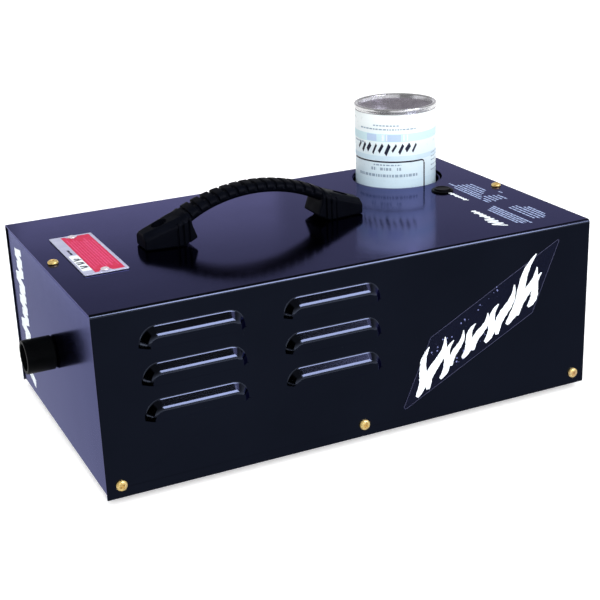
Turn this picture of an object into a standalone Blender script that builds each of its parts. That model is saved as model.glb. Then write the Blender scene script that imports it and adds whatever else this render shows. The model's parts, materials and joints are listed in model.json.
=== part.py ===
"""Canister-fed fog machine: a folded steel casing with a lift-out fluid can, an electric
heat exchanger, a solenoid valve, a push button and a mains inlet with switch and fuse drawer.

Every size below is in millimetres and every place is given in casing coordinates: x from the
left end (the nozzle end), y from the front face, z from the underside of the casing. The
helpers turn them into metres, and the empty "casing_corner" carries them into the row frame,
whose origin is at the middle of the whole machine's footprint, on the surface it stands on.
"""
import math

import bmesh
import bpy
from mathutils import Matrix, Vector

MM = 0.001
GAP = 0.3                       # clearance kept between neighbouring pieces

# Casing: a cover (top, front and back) over a chassis (floor and two ends)
CASE_LENGTH = 372.0
CASE_DEPTH = 218.0
CASE_HEIGHT = 127.0
SHEET = 1.2
BEND = 2.5                      # outside radius of every fold
BEND_STEPS = 2
MID_Y = CASE_DEPTH / 2
END_INSET = 1.0                 # the end panels sit this far inside the cover's edges
TAB_LENGTH = 13.0               # folded tab at the top of each end panel
FLANGE_HEIGHT = 16.0
FLANGE_END = 5.0                # the floor's flanges stop this far short of the ends
CHASSIS_LEFT = END_INSET
CHASSIS_RIGHT = CASE_LENGTH - END_INSET
CHASSIS_FRONT = SHEET + GAP
CHASSIS_BACK = CASE_DEPTH - SHEET - GAP
CHASSIS_TOP = CASE_HEIGHT - SHEET - GAP
FLOOR_TOP = SHEET
ON_FLOOR = SHEET + GAP

# Outermost points to the left and right, which place the origin
NOZZLE_OUT = 20.0               # past the casing's left end
LAMP_OUT = 5.0                  # past the casing's right end

# Feet
FOOT_HEIGHT = 5.0
FOOT_RADIUS = 10.0
FOOT_INSET = 22.0
FOOT_STEM = 3.0
FOOT_BARB = 4.4
FOOT_BARB_TIP = 2.8
FOOT_BARB_HEIGHT = 2.5
FOOT_TAPER = 1.0

# Louvres: two columns of three on the front, the same on the back
LOUVRE_LEFTS = (28.6, 127.2)
LOUVRE_TOPS = (63.5, 88.5, 113.5)
LOUVRE_WIDTH = 73.6
LOUVRE_HEIGHT = 14.0
LOUVRE_OUT = 5.2
LOUVRE_CORNER = 12.5
LOUVRE_SLOPE = 4.8
LOUVRE_CORNER_STEPS = 2

# Vent slots under the heat exchanger
VENT_COUNT = 6
VENT_START = 84.0
VENT_PITCH = 18.0
VENT_HALF = (1.7, 24.0)

# Fastenings of the cover
SCREW_XS = (10.0, 186.0, 362.0)
SCREW_Z = 9.0
TOP_SCREW_XS = (7.5, 364.5)
SCREW_HEAD = 3.75
SCREW_SHANK = 1.9
SCREW_HOLE = 2.3
SCREW_LENGTH = 8.0
SCREW_HEAD_HEIGHT = 2.1
CROSS_LENGTH = 4.2
CROSS_WIDTH = 1.0
CROSS_DEPTH = 1.3

# Carrying handle: a rigid ribbed arch
HANDLE_X = 155.5                # middle of the arch
HANDLE_REACH = 85.0             # from the middle to each tip
HANDLE_WIDTH = 26.0
HANDLE_TIP_WIDTH = 20.0
HANDLE_TIP_TAPER = 22.0
HANDLE_TIP_HEIGHT = 11.0
HANDLE_RISE = 36.0              # top of the arch above the casing
HANDLE_GRIP = 9.0               # thickness at the middle
HANDLE_TOP_RADIUS = 118.0
HANDLE_UNDER_RADIUS = 106.0
HANDLE_ARC_REACH = 49.0         # where the arcs meet the end blocks
HANDLE_UNDER_STEPS = 8
HANDLE_HEEL = (47.0, 4.5)       # inner lower corner of each end block
HANDLE_FOOT_REACH = 56.0        # where each block's flat underside starts
HANDLE_RIBS = 13
HANDLE_RIB_PITCH = 7.3
HANDLE_GROOVE = 1.4
HANDLE_GROOVE_DEPTH = 1.6
HANDLE_SCREW_REACH = 71.0
HANDLE_SCREW_HEAD = 4.6
HANDLE_SCREW_SHANK = 2.5
HANDLE_SCREW_HEAD_HEIGHT = 2.6
HANDLE_SCREW_LENGTH = 14.0
HANDLE_EDGE = 1.5
HANDLE_RECESS = 5.6
HANDLE_RECESS_FLOOR = 5.0       # above the casing

# Rating plate
PLATE_LOW = (18.4, 71.0)
PLATE_HIGH = (49.4, 160.4)
PLATE_THICKNESS = 0.7
RIVET_YS = (76.0, 155.5)
RIVET_HEAD = 3.0
RIVET_HEAD_HEIGHTS = (1.2, 1.0, 0.2)  # at the middle, half way out and at the rim
RIVET_SHANK = 1.3
RIVET_LENGTH = 3.0
RIVET_HOLE = 1.9

# Fog outlet
NOZZLE_Z = 63.5
NOZZLE_RADIUS = 12.0
NOZZLE_MOUTH = 9.6
NOZZLE_MOUTH_DEPTH = 14.0
NOZZLE_SPIGOT = 8.0
NOZZLE_BORE = 5.0
NOZZLE_SPIGOT_END = 16.0
NOZZLE_CHAMFER = 1.0
LOCK_RING_RADIUS = 13.0
LOCK_RING_WIDTH = 5.0
OUTLET_PIPE = 4.2
OUTLET_PIPE_BORE = 3.0
OUTLET_PIPE_ENTRY = 6.0         # how far it runs into the nozzle
OUTLET_PIPE_SEAT = 8.0          # how far it runs into the heater block

# Heat exchanger
BLOCK_LOW = (64.0, 79.0, 41.5)
BLOCK_HIGH = (194.0, 139.0, 85.5)
CARTRIDGE_RADIUS = 8.0
CARTRIDGE_Z = 54.0
CARTRIDGE_LENGTH = 112.0
CARTRIDGE_TAIL = (3.0, 6.0)     # radius and length of the end the lead leaves by
CARTRIDGE_PROUD = 8.0           # past the block's right face
BLOCK_EDGE = 2.0
FEED_DEPTH = 10.0
FEED_Z = 75.0
JACKET_WALL = 5.0
JACKET_INSET = 3.0              # shorter than the block at each end
JACKET_WINDOW = ((96.0, 96.0), (168.0, 122.0))
CONTROLS = (("thermostat", 112.0, 8.0), ("thermal_cutout", 152.0, 6.5))  # name, x and radius
CONTROL_FLANGE = (2.5, 2.5)     # width and thickness
CONTROL_HEIGHT = 9.0
CONTROL_EDGE = 1.0
BLADE_HALF = (0.4, 2.4)
BLADE_LENGTH = 7.0
BRACKET_SHEET = 1.5
BRACKET_FOOT = 16.0
BRACKET_TOP = 80.0
BRACKET_INSET = 4.0             # narrower than the block on each side
BRACKET_ROOM = (1.5, 0.8, 0.5)  # round the outlet pipe, the cartridge and the feed pipe

# Fluid can and what holds it
CAN_X = 312.5
CAN_Y = 177.0
CAN_RADIUS = 32.5
CAN_RIM = 33.1
CAN_TOP = CASE_HEIGHT + 62.0
CAN_WALL = 1.0
CAN_SHOULDER = 40.0
CAN_NECK = 25.0
CAN_NECK_RADIUS = 13.5
CAN_DOME_DEPTH = 9.0
CAN_DOME_REACH = 29.6
CAN_DOME_EDGE = 3.6             # how far below the rim the dome starts
CAN_DOME_STEPS = 3
CAN_RIM_PROFILE = ((30.9, 0.7), (31.9, 0.0), (CAN_RIM, 1.2), (CAN_RIM, 2.6))  # radius, depth below the top
CAN_SEAM = 4.0                  # depth below the top where the rim meets the wall
CAN_INNER_DOME = ((CAN_RADIUS - CAN_WALL, 6.5), (24.0, 8.5), (0.0, 11.0))
CAN_HOLE = 36.7
CAN_HOLE_X = 313.6              # the can stands a little to the left in its hole
CAN_CUP_BOTTOM = 22.0
CAN_STEM_END = 12.0
CAN_CUP = (15.5, 14.5)          # radii at its upper and lower rims
CAN_STEM = (5.0, 2.0)           # radii of the boss and of the stem
CAN_BOSS = 4.5
TUBE_INNER = 35.2
TUBE_OUTER = 36.2
TUBE_WINDOW = 4.0               # radius of the hole that lets the pipe in
SEAT_TOP = CAN_CUP_BOTTOM - GAP
SEAT_RADIUS = 20.0
SEAT_FLANGE = (24.0, 6.0)       # radius, and height of its top
SEAT_RECESS = (7.0, 13.5)       # radius and floor of the recess for the seal
SEAT_BORE = (2.7, 8.0)          # radius and floor of the bore for the stem
SEAL_HEIGHT = 2.6
SEAL_INNER = (2.3, 3.0)         # radii of its lip and of its inner edges
SEAL_EDGE = 0.7
PIPE_RADIUS = 1.6
PIPE_HOLE = 2.3
PORT_Z = 10.5
PIPE_ENTRY = 5.0                # how far a pipe runs into the valve
FEED_BENDS = ((15.0, 169.5, 14.5), (17.0, 145.0, 45.0), (18.0, 117.0, 70.0))  # x from the heater block

# Solenoid valve between the can and the heat exchanger
VALVE_X = 232.0
VALVE_HALF = 13.0
VALVE_TOP = 19.5
COIL_TOP = 48.0
PLUNGER_RADIUS = 5.0
PLUNGER_BORE = 5.6
PLUNGER_LOW = 13.0
PLUNGER_HIGH = 36.0
COIL_BORE_TOP = 44.0
COIL_INSET = 1.0
VALVE_EDGE = 1.0
COIL_EDGE = 1.5
PORT_DEPTH = 7.0
PLUNGER_TIP = (3.0, 2.0)        # radius and height of its tapered lower end
PLUNGER_CHAMFER = 0.5
SPRING_WIRE = 0.4
VALVE_SPRING = (3.4, 4)         # radius and turns
BUTTON_SPRING = (3.6, 3)

# Fog button
BUTTON_X = 322.0
BUTTON_Y = 120.0
BUTTON_CAP = 6.5
BUTTON_BEZEL = 8.6
BUTTON_BARREL = 7.8
BUTTON_PROUD = 2.3              # cap above the cover
BUTTON_BARREL_BOTTOM = 112.0
BUTTON_FLOOR = 114.0
BUTTON_CAP_BOTTOM = 120.0
BUTTON_PIN = 1.5
BUTTON_PIN_END = 109.0
BUTTON_RIM = 0.9
BUTTON_RIM_EDGE = 0.5
BUTTON_CROWN = ((0.0, 0.0), (4.0, 0.1), (5.9, 0.4), (BUTTON_CAP, 1.0))  # radius, depth below the top
CONTACT_BORE = 6.0
CONTACT_EDGE = 1.0
CONTACT_SIZE = (18.0, 18.0, 16.0)

# Mains inlet with its fuse drawer, on the right end
INLET_Y = 62.0
INLET_Z = 50.0
INLET_FLANGE = (15.0, 26.0)     # half width and half height
INLET_BODY = (13.0, 23.0)
INLET_FLANGE_THICKNESS = 3.0
INLET_BACK = 345.0
SOCKET_Z = 60.0
SOCKET_HALF = (12.3, 8.4)
SOCKET_KEY = 4.0
SOCKET_DEPTH = 17.5
PIN_HALF = (1.0, 2.0)
PIN_OUTER = 368.0
PIN_INNER = 339.0
PIN_PLACES = {"line": (-7.0, -2.0), "neutral": (7.0, -2.0), "earth": (0.0, 2.5)}
DRAWER_Z = 35.0
DRAWER_HALF = (9.7, 4.3)
DRAWER_BACK = 350.0
DRAWER_LIP = 1.4
DRAWER_LIP_REACH = (1.2, 1.0)   # wider and taller than the drawer on each side
TRAY_WALL = (1.0, 4.6, 1.2)     # material left at the tray's inner end, its sides and its floor
INLET_EDGE = 1.0
PIN_EDGE = 0.4
FUSE_RADIUS = 2.5
FUSE_LENGTH = 20.0

# Rocker switch, lamp and remote socket, on the right end
SWITCH_Y = 110.0
SWITCH_Z = 50.0
SWITCH_BEZEL = (12.0, 16.0)
SWITCH_BODY = (10.3, 14.0)
SWITCH_OPENING = (8.8, 12.4)
SWITCH_BACK = 350.0
ROCKER_AXIS_X = 366.0
ROCKER_TILT = math.radians(7)
ROCKER_HALF_WIDTH = 8.5
ROCKER_HALF_LENGTH = 10.8
ROCKER_TOP = (8.4, 6.4, 6.9)    # heights above the axis at the ends, the middle and half way
ROCKER_HEEL = (6.0, 2.0, -2.5)  # half length of the underside, and heights at its ends and middle
TRUNNION = 1.5
TRUNNION_REACH = 9.6            # from the middle of the switch
SWITCH_BEZEL_HEIGHT = 2.0
SWITCH_EDGE = 0.7
SWITCH_WALL = 8.0               # left behind the opening
LAMP_Z = 88.0
LAMP_RADIUS = 4.0
LAMP_LENS = ((0.0, 0.0), (2.4, 0.7), (3.6, 2.4))  # radius, depth below the tip
LAMP_BEZEL = (5.4, 1.2)         # radius and height
LAMP_BODY_LENGTH = 14.0
REMOTE_Y = 162.0
REMOTE_Z = 50.0
REMOTE_FLANGE = 12.0
REMOTE_BODY = 9.5
REMOTE_RECESS = 7.4
REMOTE_BACK = 358.0
REMOTE_HEIGHT = 2.2
REMOTE_EDGE = 0.7
REMOTE_WALL = 4.0

# Control board
BOARD_LOW = (236.0, 20.0)
BOARD_HIGH = (326.0, 84.0)
BOARD_Z = 14.0
BOARD_THICKNESS = 1.6
TERMINAL_LOW = (250.0, 26.0)
TERMINAL_SIZE = (48.0, 12.0, 13.0)
TERMINAL_WAYS = 4
TERMINAL_MOUTH = (2.6, 4.0, 2.0, 7.0)  # half width, depth, and heights of its floor and roof
TERMINAL_SCREW = (2.4, 7.0, 3.0)  # radius, distance from the front, depth
TERMINAL_EDGE = 0.6
PILLAR_RADIUS = 2.5
PILLAR_INSET = 5.0
SOLDERED = 0.8                  # how far the components sink into the board
RELAY = ((246.0, 50.0), (274.0, 63.0), 16.0)
CAPACITOR = ((288.0, 57.0), 7.0, 21.2)
HEAT_SINK = ((304.0, 46.0), (308.0, 74.0), 20.0)

# Leads, as the points they pass between their two ends
LEAD_RADIUS = 2.0
HEATER_LEAD_RADIUS = 1.6
MAINS_BENDS = ((322.0, 60.0, 56.0), (320.0, 50.0, 46.0), (300.0, 43.0, 44.0))
HEATER_BENDS = ((226.0, 90.0, 44.0), (240.0, 60.0, 44.0), (256.0, 42.5, 42.0))
MAINS_WAY = 292.0
HEATER_WAY = 258.0

FINE = 28                       # sides of a large round piece
ROUND = 16                      # sides of a middling one
COARSE = 10                     # sides of a hole or a small screw

COLOURS = {
    "black_paint": ((0.018, 0.017, 0.028), 0.35, 0.0),
    "black_plastic": ((0.012, 0.012, 0.013), 0.55, 0.0),
    "black_rubber": ((0.02, 0.02, 0.02), 0.9, 0.0),
    "yellow_zinc": ((0.72, 0.5, 0.18), 0.3, 1.0),
    "bright_steel": ((0.6, 0.6, 0.6), 0.35, 1.0),
    "label_white": ((0.82, 0.88, 0.92), 0.35, 0.0),
    "plate_red": ((0.65, 0.05, 0.12), 0.4, 0.0),
    "cast_aluminium": ((0.55, 0.55, 0.56), 0.5, 1.0),
    "glass_wool": ((0.75, 0.7, 0.58), 0.95, 0.0),
    "brass": ((0.7, 0.52, 0.22), 0.35, 1.0),
    "copper": ((0.75, 0.38, 0.25), 0.35, 1.0),
    "board_green": ((0.03, 0.2, 0.08), 0.5, 0.0),
    "lead_grey": ((0.25, 0.25, 0.27), 0.6, 0.0),
    "lamp_amber": ((0.9, 0.45, 0.05), 0.2, 0.0),
    "ceramic": ((0.8, 0.78, 0.72), 0.6, 0.0),
}


# --- Scene and objects -------------------------------------------------------------------

def clear_scene():
    for obj in list(bpy.data.objects):
        bpy.data.objects.remove(obj, do_unlink=True)


def new_collection(name):
    collection = bpy.data.collections.new(name)
    bpy.context.scene.collection.children.link(collection)
    return collection


clear_scene()
PARTS = new_collection("fog_machine")
CUTTERS = new_collection("cutters")
CORNER = bpy.data.objects.new("casing_corner", None)
CORNER.location = (
    -(CASE_LENGTH + LAMP_OUT - NOZZLE_OUT) / 2 * MM,
    -CASE_DEPTH / 2 * MM,
    FOOT_HEIGHT * MM,
)
PARTS.objects.link(CORNER)


def material(name):
    """The Principled material of that name, made on first use."""
    found = bpy.data.materials.get(name)
    if found:
        return found
    colour, roughness, metallic = COLOURS[name]
    made = bpy.data.materials.new(name)
    made.use_nodes = True
    shader = made.node_tree.nodes["Principled BSDF"]
    shader.inputs["Base Color"].default_value = (*colour, 1.0)
    shader.inputs["Roughness"].default_value = roughness
    shader.inputs["Metallic"].default_value = metallic
    return made


def add_part(name, data, finish, place=(0, 0, 0)):
    """Put mesh or curve data into the machine at a place in casing coordinates."""
    part = bpy.data.objects.new(name, data)
    data.materials.clear()
    data.materials.append(material(finish))
    part.parent = CORNER
    part.location = Vector(place) * MM
    PARTS.objects.link(part)
    return part


def add_cutter(name, mesh):
    """A hidden shape that a Boolean subtracts from a part or unites with it."""
    cutter = bpy.data.objects.new(name, mesh)
    cutter.parent = CORNER
    cutter.hide_render = True
    cutter.display_type = "WIRE"
    CUTTERS.objects.link(cutter)
    return cutter


def combine(part, shapes, operation):
    """Boolean a bmesh of closed bodies, drawn in casing coordinates, with a part."""
    count = len(part.modifiers)
    cutter = add_cutter(f"{part.name}_{operation.lower()}_{count}", to_mesh(part.name, shapes))
    modifier = part.modifiers.new(operation.title(), "BOOLEAN")
    modifier.operation = operation
    modifier.solver = "EXACT"
    modifier.object = cutter


def cut(part, shapes):
    combine(part, shapes, "DIFFERENCE")


def unite(part, shapes):
    combine(part, shapes, "UNION")


# --- Shapes drawn into a bmesh, in millimetres -------------------------------------------

def to_mesh(name, shapes, smooth_angle=35):
    """Turn a bmesh in millimetres into a mesh in metres, round parts shaded smooth."""
    bmesh.ops.scale(shapes, vec=(MM, MM, MM), verts=shapes.verts)
    mesh = bpy.data.meshes.new(name)
    shapes.to_mesh(mesh)
    shapes.free()
    mesh.shade_smooth()
    mesh.set_sharp_from_angle(angle=math.radians(smooth_angle))
    return mesh


def draw_box(shapes, low, high, bevel=0.0, steps=1):
    """A box between two corners, with its edges rounded if bevel is given."""
    low = Vector(low)
    size = Vector(high) - low
    place = Matrix.Translation(low + size / 2) @ Matrix.Diagonal((*size, 1))
    verts = bmesh.ops.create_cube(shapes, size=1, matrix=place)["verts"]
    if bevel:
        edges = list({edge for vert in verts for edge in vert.link_edges})
        bmesh.ops.bevel(shapes, geom=edges, offset=bevel, segments=steps, affect="EDGES", profile=0.5)
    return verts


TURNS = {
    "X": Matrix.Rotation(math.pi / 2, 4, "Y"),
    "Y": Matrix.Rotation(-math.pi / 2, 4, "X"),
    "Z": Matrix.Identity(4),
}


def draw_cylinder(shapes, start, length, radius, axis="Z", sides=COARSE):
    """A closed cylinder from the middle of its first end along a casing axis."""
    place = Matrix.Translation(start) @ TURNS[axis] @ Matrix.Translation((0, 0, length / 2))
    bmesh.ops.create_cone(
        shapes, cap_ends=True, segments=sides, radius1=radius, radius2=radius, depth=length, matrix=place
    )


def rounded_path(points, radius, steps):
    """The points of a 2D path with an arc of that radius at each inner corner."""
    path = [Vector(points[0])]
    for before, corner, after in zip(points, points[1:], points[2:]):
        corner = Vector(corner)
        towards = (Vector(before) - corner).normalized()
        away = (Vector(after) - corner).normalized()
        reach = radius / math.tan(towards.angle(away) / 2)
        centre = corner + (towards + away).normalized() * math.hypot(radius, reach)
        start = corner + towards * reach - centre
        turn = start.angle_signed(corner + away * reach - centre)
        for step in range(steps + 1):
            angle = -turn * step / steps
            arm = Matrix.Rotation(angle, 2) @ start
            path.append(centre + arm)
    path.append(Vector(points[-1]))
    return path


# --- Kinds of part -----------------------------------------------------------------------

def box_part(name, low, high, finish, bevel=0.0, steps=1):
    shapes = bmesh.new()
    draw_box(shapes, low, high, bevel, steps)
    return add_part(name, to_mesh(name, shapes), finish)


def turned_part(name, profile, place, finish, axis="Z", sides=ROUND):
    """Spin a profile of (radius, height) points, listed from the top down its outer side."""
    shapes = bmesh.new()
    verts = [shapes.verts.new((radius, 0, height)) for radius, height in profile]
    for first, second in zip(verts, verts[1:]):
        shapes.edges.new((first, second))
    if profile[0][0] > 0:
        shapes.edges.new((verts[-1], verts[0]))
    part = add_part(name, to_mesh(name, shapes), finish, place)
    part.matrix_local = Matrix.Translation(part.location) @ TURNS[axis]
    screw = part.modifiers.new("Screw", "SCREW")
    screw.angle = math.tau
    screw.steps = sides
    screw.render_steps = sides
    screw.use_merge_vertices = True
    screw.merge_threshold = 0.00001
    return part


def folded_part(name, path, run, finish, thickness):
    """A folded sheet: a path of 3D points swept along run and thickened inwards."""
    shapes = bmesh.new()
    verts = [shapes.verts.new(point) for point in path]
    edges = [shapes.edges.new(pair) for pair in zip(verts, verts[1:])]
    swept = bmesh.ops.extrude_edge_only(shapes, edges=edges)["geom"]
    moved = [item for item in swept if isinstance(item, bmesh.types.BMVert)]
    bmesh.ops.translate(shapes, vec=run, verts=moved)
    part = add_part(name, to_mesh(name, shapes), finish)
    solidify = part.modifiers.new("Solidify", "SOLIDIFY")
    solidify.thickness = thickness * MM
    solidify.offset = -1.0
    solidify.use_even_offset = True
    return part


def outline_mesh(name, outline, low, high):
    """A flat 2D outline in x and y, filled and extruded from low to high along z."""
    curve = bpy.data.curves.new(name, "CURVE")
    curve.dimensions = "2D"
    curve.fill_mode = "BOTH"
    curve.extrude = (high - low) / 2 * MM
    spline = curve.splines.new("POLY")
    spline.points.add(len(outline) - 1)
    for point, (x, y) in zip(spline.points, outline):
        point.co = (x * MM, y * MM, 0, 1)
    spline.use_cyclic_u = True
    guide = bpy.data.objects.new(f"{name}_outline", curve)
    CUTTERS.objects.link(guide)
    bpy.context.view_layer.update()
    mesh = bpy.data.meshes.new_from_object(guide.evaluated_get(bpy.context.evaluated_depsgraph_get()))
    bpy.data.objects.remove(guide)
    welded = bmesh.new()
    welded.from_mesh(mesh)
    bmesh.ops.remove_doubles(welded, verts=welded.verts, dist=0.00001)
    bmesh.ops.translate(welded, vec=(0, 0, (high + low) / 2 * MM), verts=welded.verts)
    bmesh.ops.recalc_face_normals(welded, faces=welded.faces)
    welded.to_mesh(mesh)
    welded.free()
    return mesh


def smooth_route(knots, steps):
    """Points along a smooth curve through the knots, with steps between each pair."""
    knots = [Vector(knot) for knot in knots]
    padded = [2 * knots[0] - knots[1], *knots, 2 * knots[-1] - knots[-2]]
    route = []
    for before, start, end, after in zip(padded, padded[1:], padded[2:], padded[3:]):
        for step in range(steps):
            t = step / steps
            bend = 2 * before - 5 * start + 4 * end - after
            twist = 3 * start - before - 3 * end + after
            route.append(start + ((end - before) * t + bend * t * t + twist * t ** 3) / 2)
    route.append(knots[-1])
    return route


def tube_part(name, route, radius, finish):
    """A round tube or wire along a list of points."""
    curve = bpy.data.curves.new(name, "CURVE")
    curve.dimensions = "3D"
    curve.bevel_depth = radius * MM
    curve.bevel_resolution = 2
    curve.use_fill_caps = True
    spline = curve.splines.new("POLY")
    spline.points.add(len(route) - 1)
    for point, place in zip(spline.points, route):
        point.co = (*(place * MM), 1)
    return add_part(name, curve, finish)


def spring_part(name, place, coil, low, high):
    """A round-wire compression spring, its coil a radius and a count, between two heights."""
    radius, turns = coil
    per_turn = 8
    count = turns * per_turn
    pitch = (high - low - 2 * SPRING_WIRE) / count
    route = []
    for step in range(count + 1):
        angle = math.tau * step / per_turn
        x = place[0] + radius * math.cos(angle)
        y = place[1] + radius * math.sin(angle)
        route.append(Vector((x, y, low + SPRING_WIRE + pitch * step)))
    return tube_part(name, route, SPRING_WIRE, "bright_steel")


# --- Casing ------------------------------------------------------------------------------

def make_chassis():
    """Floor and ends in one folded sheet, with a tab on each end and two floor flanges."""
    corners = [
        (CHASSIS_LEFT + TAB_LENGTH, CHASSIS_TOP),
        (CHASSIS_LEFT, CHASSIS_TOP),
        (CHASSIS_LEFT, 0),
        (CHASSIS_RIGHT, 0),
        (CHASSIS_RIGHT, CHASSIS_TOP),
        (CHASSIS_RIGHT - TAB_LENGTH, CHASSIS_TOP),
    ]
    path = [(x, CHASSIS_FRONT, z) for x, z in rounded_path(corners, BEND, BEND_STEPS)]
    chassis = folded_part(
        "base_chassis", path, (0, CHASSIS_BACK - CHASSIS_FRONT, 0), "black_paint", SHEET
    )
    flanges = bmesh.new()
    inside = SHEET / 3
    for y in (CHASSIS_FRONT, CHASSIS_BACK - SHEET):
        low = (CHASSIS_LEFT + FLANGE_END, y, inside)
        draw_box(flanges, low, (CHASSIS_RIGHT - FLANGE_END, y + SHEET, FLANGE_HEIGHT))
    unite(chassis, flanges)
    cut(chassis, chassis_holes())
    cut(chassis, end_panel_cutouts())
    return chassis


def chassis_holes():
    holes = bmesh.new()
    through = 4 * SHEET
    for x in SCREW_XS:
        for y in (CHASSIS_FRONT - SHEET, CHASSIS_BACK - 3 * SHEET):
            draw_cylinder(holes, (x, y, SCREW_Z), through, SCREW_HOLE, "Y")
    for x in TOP_SCREW_XS:
        draw_cylinder(holes, (x, MID_Y, CHASSIS_TOP - 2 * SHEET), through, SCREW_HOLE)
    for x, y in foot_places():
        draw_cylinder(holes, (x, y, -SHEET), through, FOOT_STEM + 2 * GAP)
    for y in (CHASSIS_FRONT, CHASSIS_BACK):
        notch = (CHASSIS_LEFT - 1, y - BEND / 2, CHASSIS_TOP - BEND / 2)
        draw_box(holes, notch, (CHASSIS_RIGHT + 1, y + BEND / 2, CHASSIS_TOP + 1))
    half_x, half_y = VENT_HALF
    for slot in range(VENT_COUNT):
        x = VENT_START + VENT_PITCH * slot
        draw_box(holes, (x - half_x, MID_Y - half_y, -SHEET), (x + half_x, MID_Y + half_y, 2 * SHEET))
    return holes


def end_panel_cutouts():
    cutouts = bmesh.new()
    through = 4 * SHEET
    draw_cylinder(cutouts, (-SHEET, MID_Y, NOZZLE_Z), through, NOZZLE_SPIGOT + 2 * GAP, "X", ROUND)
    right = CHASSIS_RIGHT - 2 * SHEET
    for y, z, half in ((INLET_Y, INLET_Z, INLET_BODY), (SWITCH_Y, SWITCH_Z, SWITCH_BODY)):
        low = (right, y - half[0] - GAP, z - half[1] - GAP)
        draw_box(cutouts, low, (right + through, y + half[0] + GAP, z + half[1] + GAP))
    draw_cylinder(cutouts, (right, SWITCH_Y, LAMP_Z), through, LAMP_RADIUS + 2 * GAP, "X")
    draw_cylinder(cutouts, (right, REMOTE_Y, REMOTE_Z), through, REMOTE_BODY + 2 * GAP, "X", ROUND)
    return cutouts


def draw_hood(shapes, low, high, front, corner, slope):
    """A pressed louvre hood: rounded ends, sloping top, flat face, open corner at its foot.

    front is the y of the face that slopes back to the panel.
    """
    verts = draw_box(shapes, low, high)
    top = high[2]
    upright = [
        edge for edge in {edge for vert in verts for edge in vert.link_edges}
        if all(abs(vert.co.z - top) < GAP for vert in edge.verts)
        and abs(edge.verts[0].co.x - edge.verts[1].co.x) < GAP
    ]
    rounded = bmesh.ops.bevel(
        shapes, geom=upright, offset=corner, segments=LOUVRE_CORNER_STEPS, affect="EDGES", profile=0.5
    )
    nearby = {vert for face in rounded["faces"] for vert in face.verts} | {v for v in verts if v.is_valid}
    face_edges = [
        edge for edge in {edge for vert in nearby for edge in vert.link_edges}
        if all(abs(vert.co.y - front) < GAP for vert in edge.verts)
        and any(abs(vert.co.z - low[2]) > GAP for vert in edge.verts)
    ]
    bmesh.ops.bevel(shapes, geom=face_edges, offset=slope, segments=1, affect="EDGES")


def draw_louvres(hoods, hollows):
    """Draw every hood, and the hollow that opens it to the inside and underneath."""
    root = SHEET / 2
    face = LOUVRE_OUT - SHEET
    for left in LOUVRE_LEFTS:
        for top in LOUVRE_TOPS:
            right = left + LOUVRE_WIDTH
            lip = top - LOUVRE_HEIGHT
            for panel, out in ((0.0, -1), (CASE_DEPTH, 1)):
                outer = sorted((panel - out * root, panel + out * LOUVRE_OUT))
                draw_hood(
                    hoods, (left, outer[0], lip), (right, outer[1], top),
                    panel + out * LOUVRE_OUT, LOUVRE_CORNER, LOUVRE_SLOPE,
                )
                inner = sorted((panel - out * 2 * SHEET, panel + out * face))
                draw_hood(
                    hollows, (left + SHEET, inner[0], lip - GAP), (right - SHEET, inner[1], top - SHEET),
                    panel + out * face, LOUVRE_CORNER - SHEET, LOUVRE_SLOPE - SHEET / 2,
                )


def cover_holes(holes):
    through = 4 * SHEET
    under = CASE_HEIGHT - 2 * SHEET
    draw_cylinder(holes, (CAN_HOLE_X, CAN_Y, under), through, CAN_HOLE, "Z", FINE)
    draw_cylinder(holes, (BUTTON_X, BUTTON_Y, under), through, BUTTON_BARREL + GAP, "Z", ROUND)
    for x in TOP_SCREW_XS:
        draw_cylinder(holes, (x, MID_Y, under), through, SCREW_HOLE)
    for side in (-1, 1):
        x = HANDLE_X + side * HANDLE_SCREW_REACH
        draw_cylinder(holes, (x, MID_Y, under), through, HANDLE_SCREW_SHANK + 2 * GAP)
    for y in RIVET_YS:
        draw_cylinder(holes, (plate_middle(), y, under), through, RIVET_HOLE)
    for x in SCREW_XS:
        for y in (-SHEET, CASE_DEPTH - 2 * SHEET):
            draw_cylinder(holes, (x, y, SCREW_Z), through, SCREW_HOLE, "Y")


def make_cover():
    corners = [(0, 0), (0, CASE_HEIGHT), (CASE_DEPTH, CASE_HEIGHT), (CASE_DEPTH, 0)]
    path = [(0, y, z) for y, z in rounded_path(corners, BEND, BEND_STEPS)]
    cover = folded_part("cover", path, (CASE_LENGTH, 0, 0), "black_paint", SHEET)
    hoods = bmesh.new()
    hollows = bmesh.new()
    draw_louvres(hoods, hollows)
    cover_holes(hollows)
    unite(cover, hoods)
    cut(cover, hollows)
    return cover


def foot_places():
    xs = (FOOT_INSET, CASE_LENGTH - FOOT_INSET)
    ys = (FOOT_INSET, CASE_DEPTH - FOOT_INSET)
    return [(x, y) for x in xs for y in ys]


def make_feet():
    """Push-in rubber feet, each held by a barb above the floor."""
    barb_low = FLOOR_TOP + GAP
    profile = [
        (0, barb_low + FOOT_BARB_HEIGHT), (FOOT_BARB_TIP, barb_low + FOOT_BARB_HEIGHT),
        (FOOT_BARB, barb_low), (FOOT_STEM, barb_low), (FOOT_STEM, -GAP), (FOOT_RADIUS, -GAP),
        (FOOT_RADIUS - FOOT_TAPER, -FOOT_HEIGHT), (0, -FOOT_HEIGHT),
    ]
    names = ("front_left", "back_left", "front_right", "back_right")
    for name, (x, y) in zip(names, foot_places()):
        turned_part(f"foot_{name}", profile, (x, y, 0), "black_rubber")


# --- Fasteners ---------------------------------------------------------------------------

def pan_screw_profile(head, height, shank, length):
    """Pan head above zero and a plain shank below it."""
    return [
        (0, height), (0.7 * head, 0.92 * height), (head, 0.3 * height), (head, 0),
        (shank, 0), (shank, -length), (0, -length),
    ]


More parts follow.
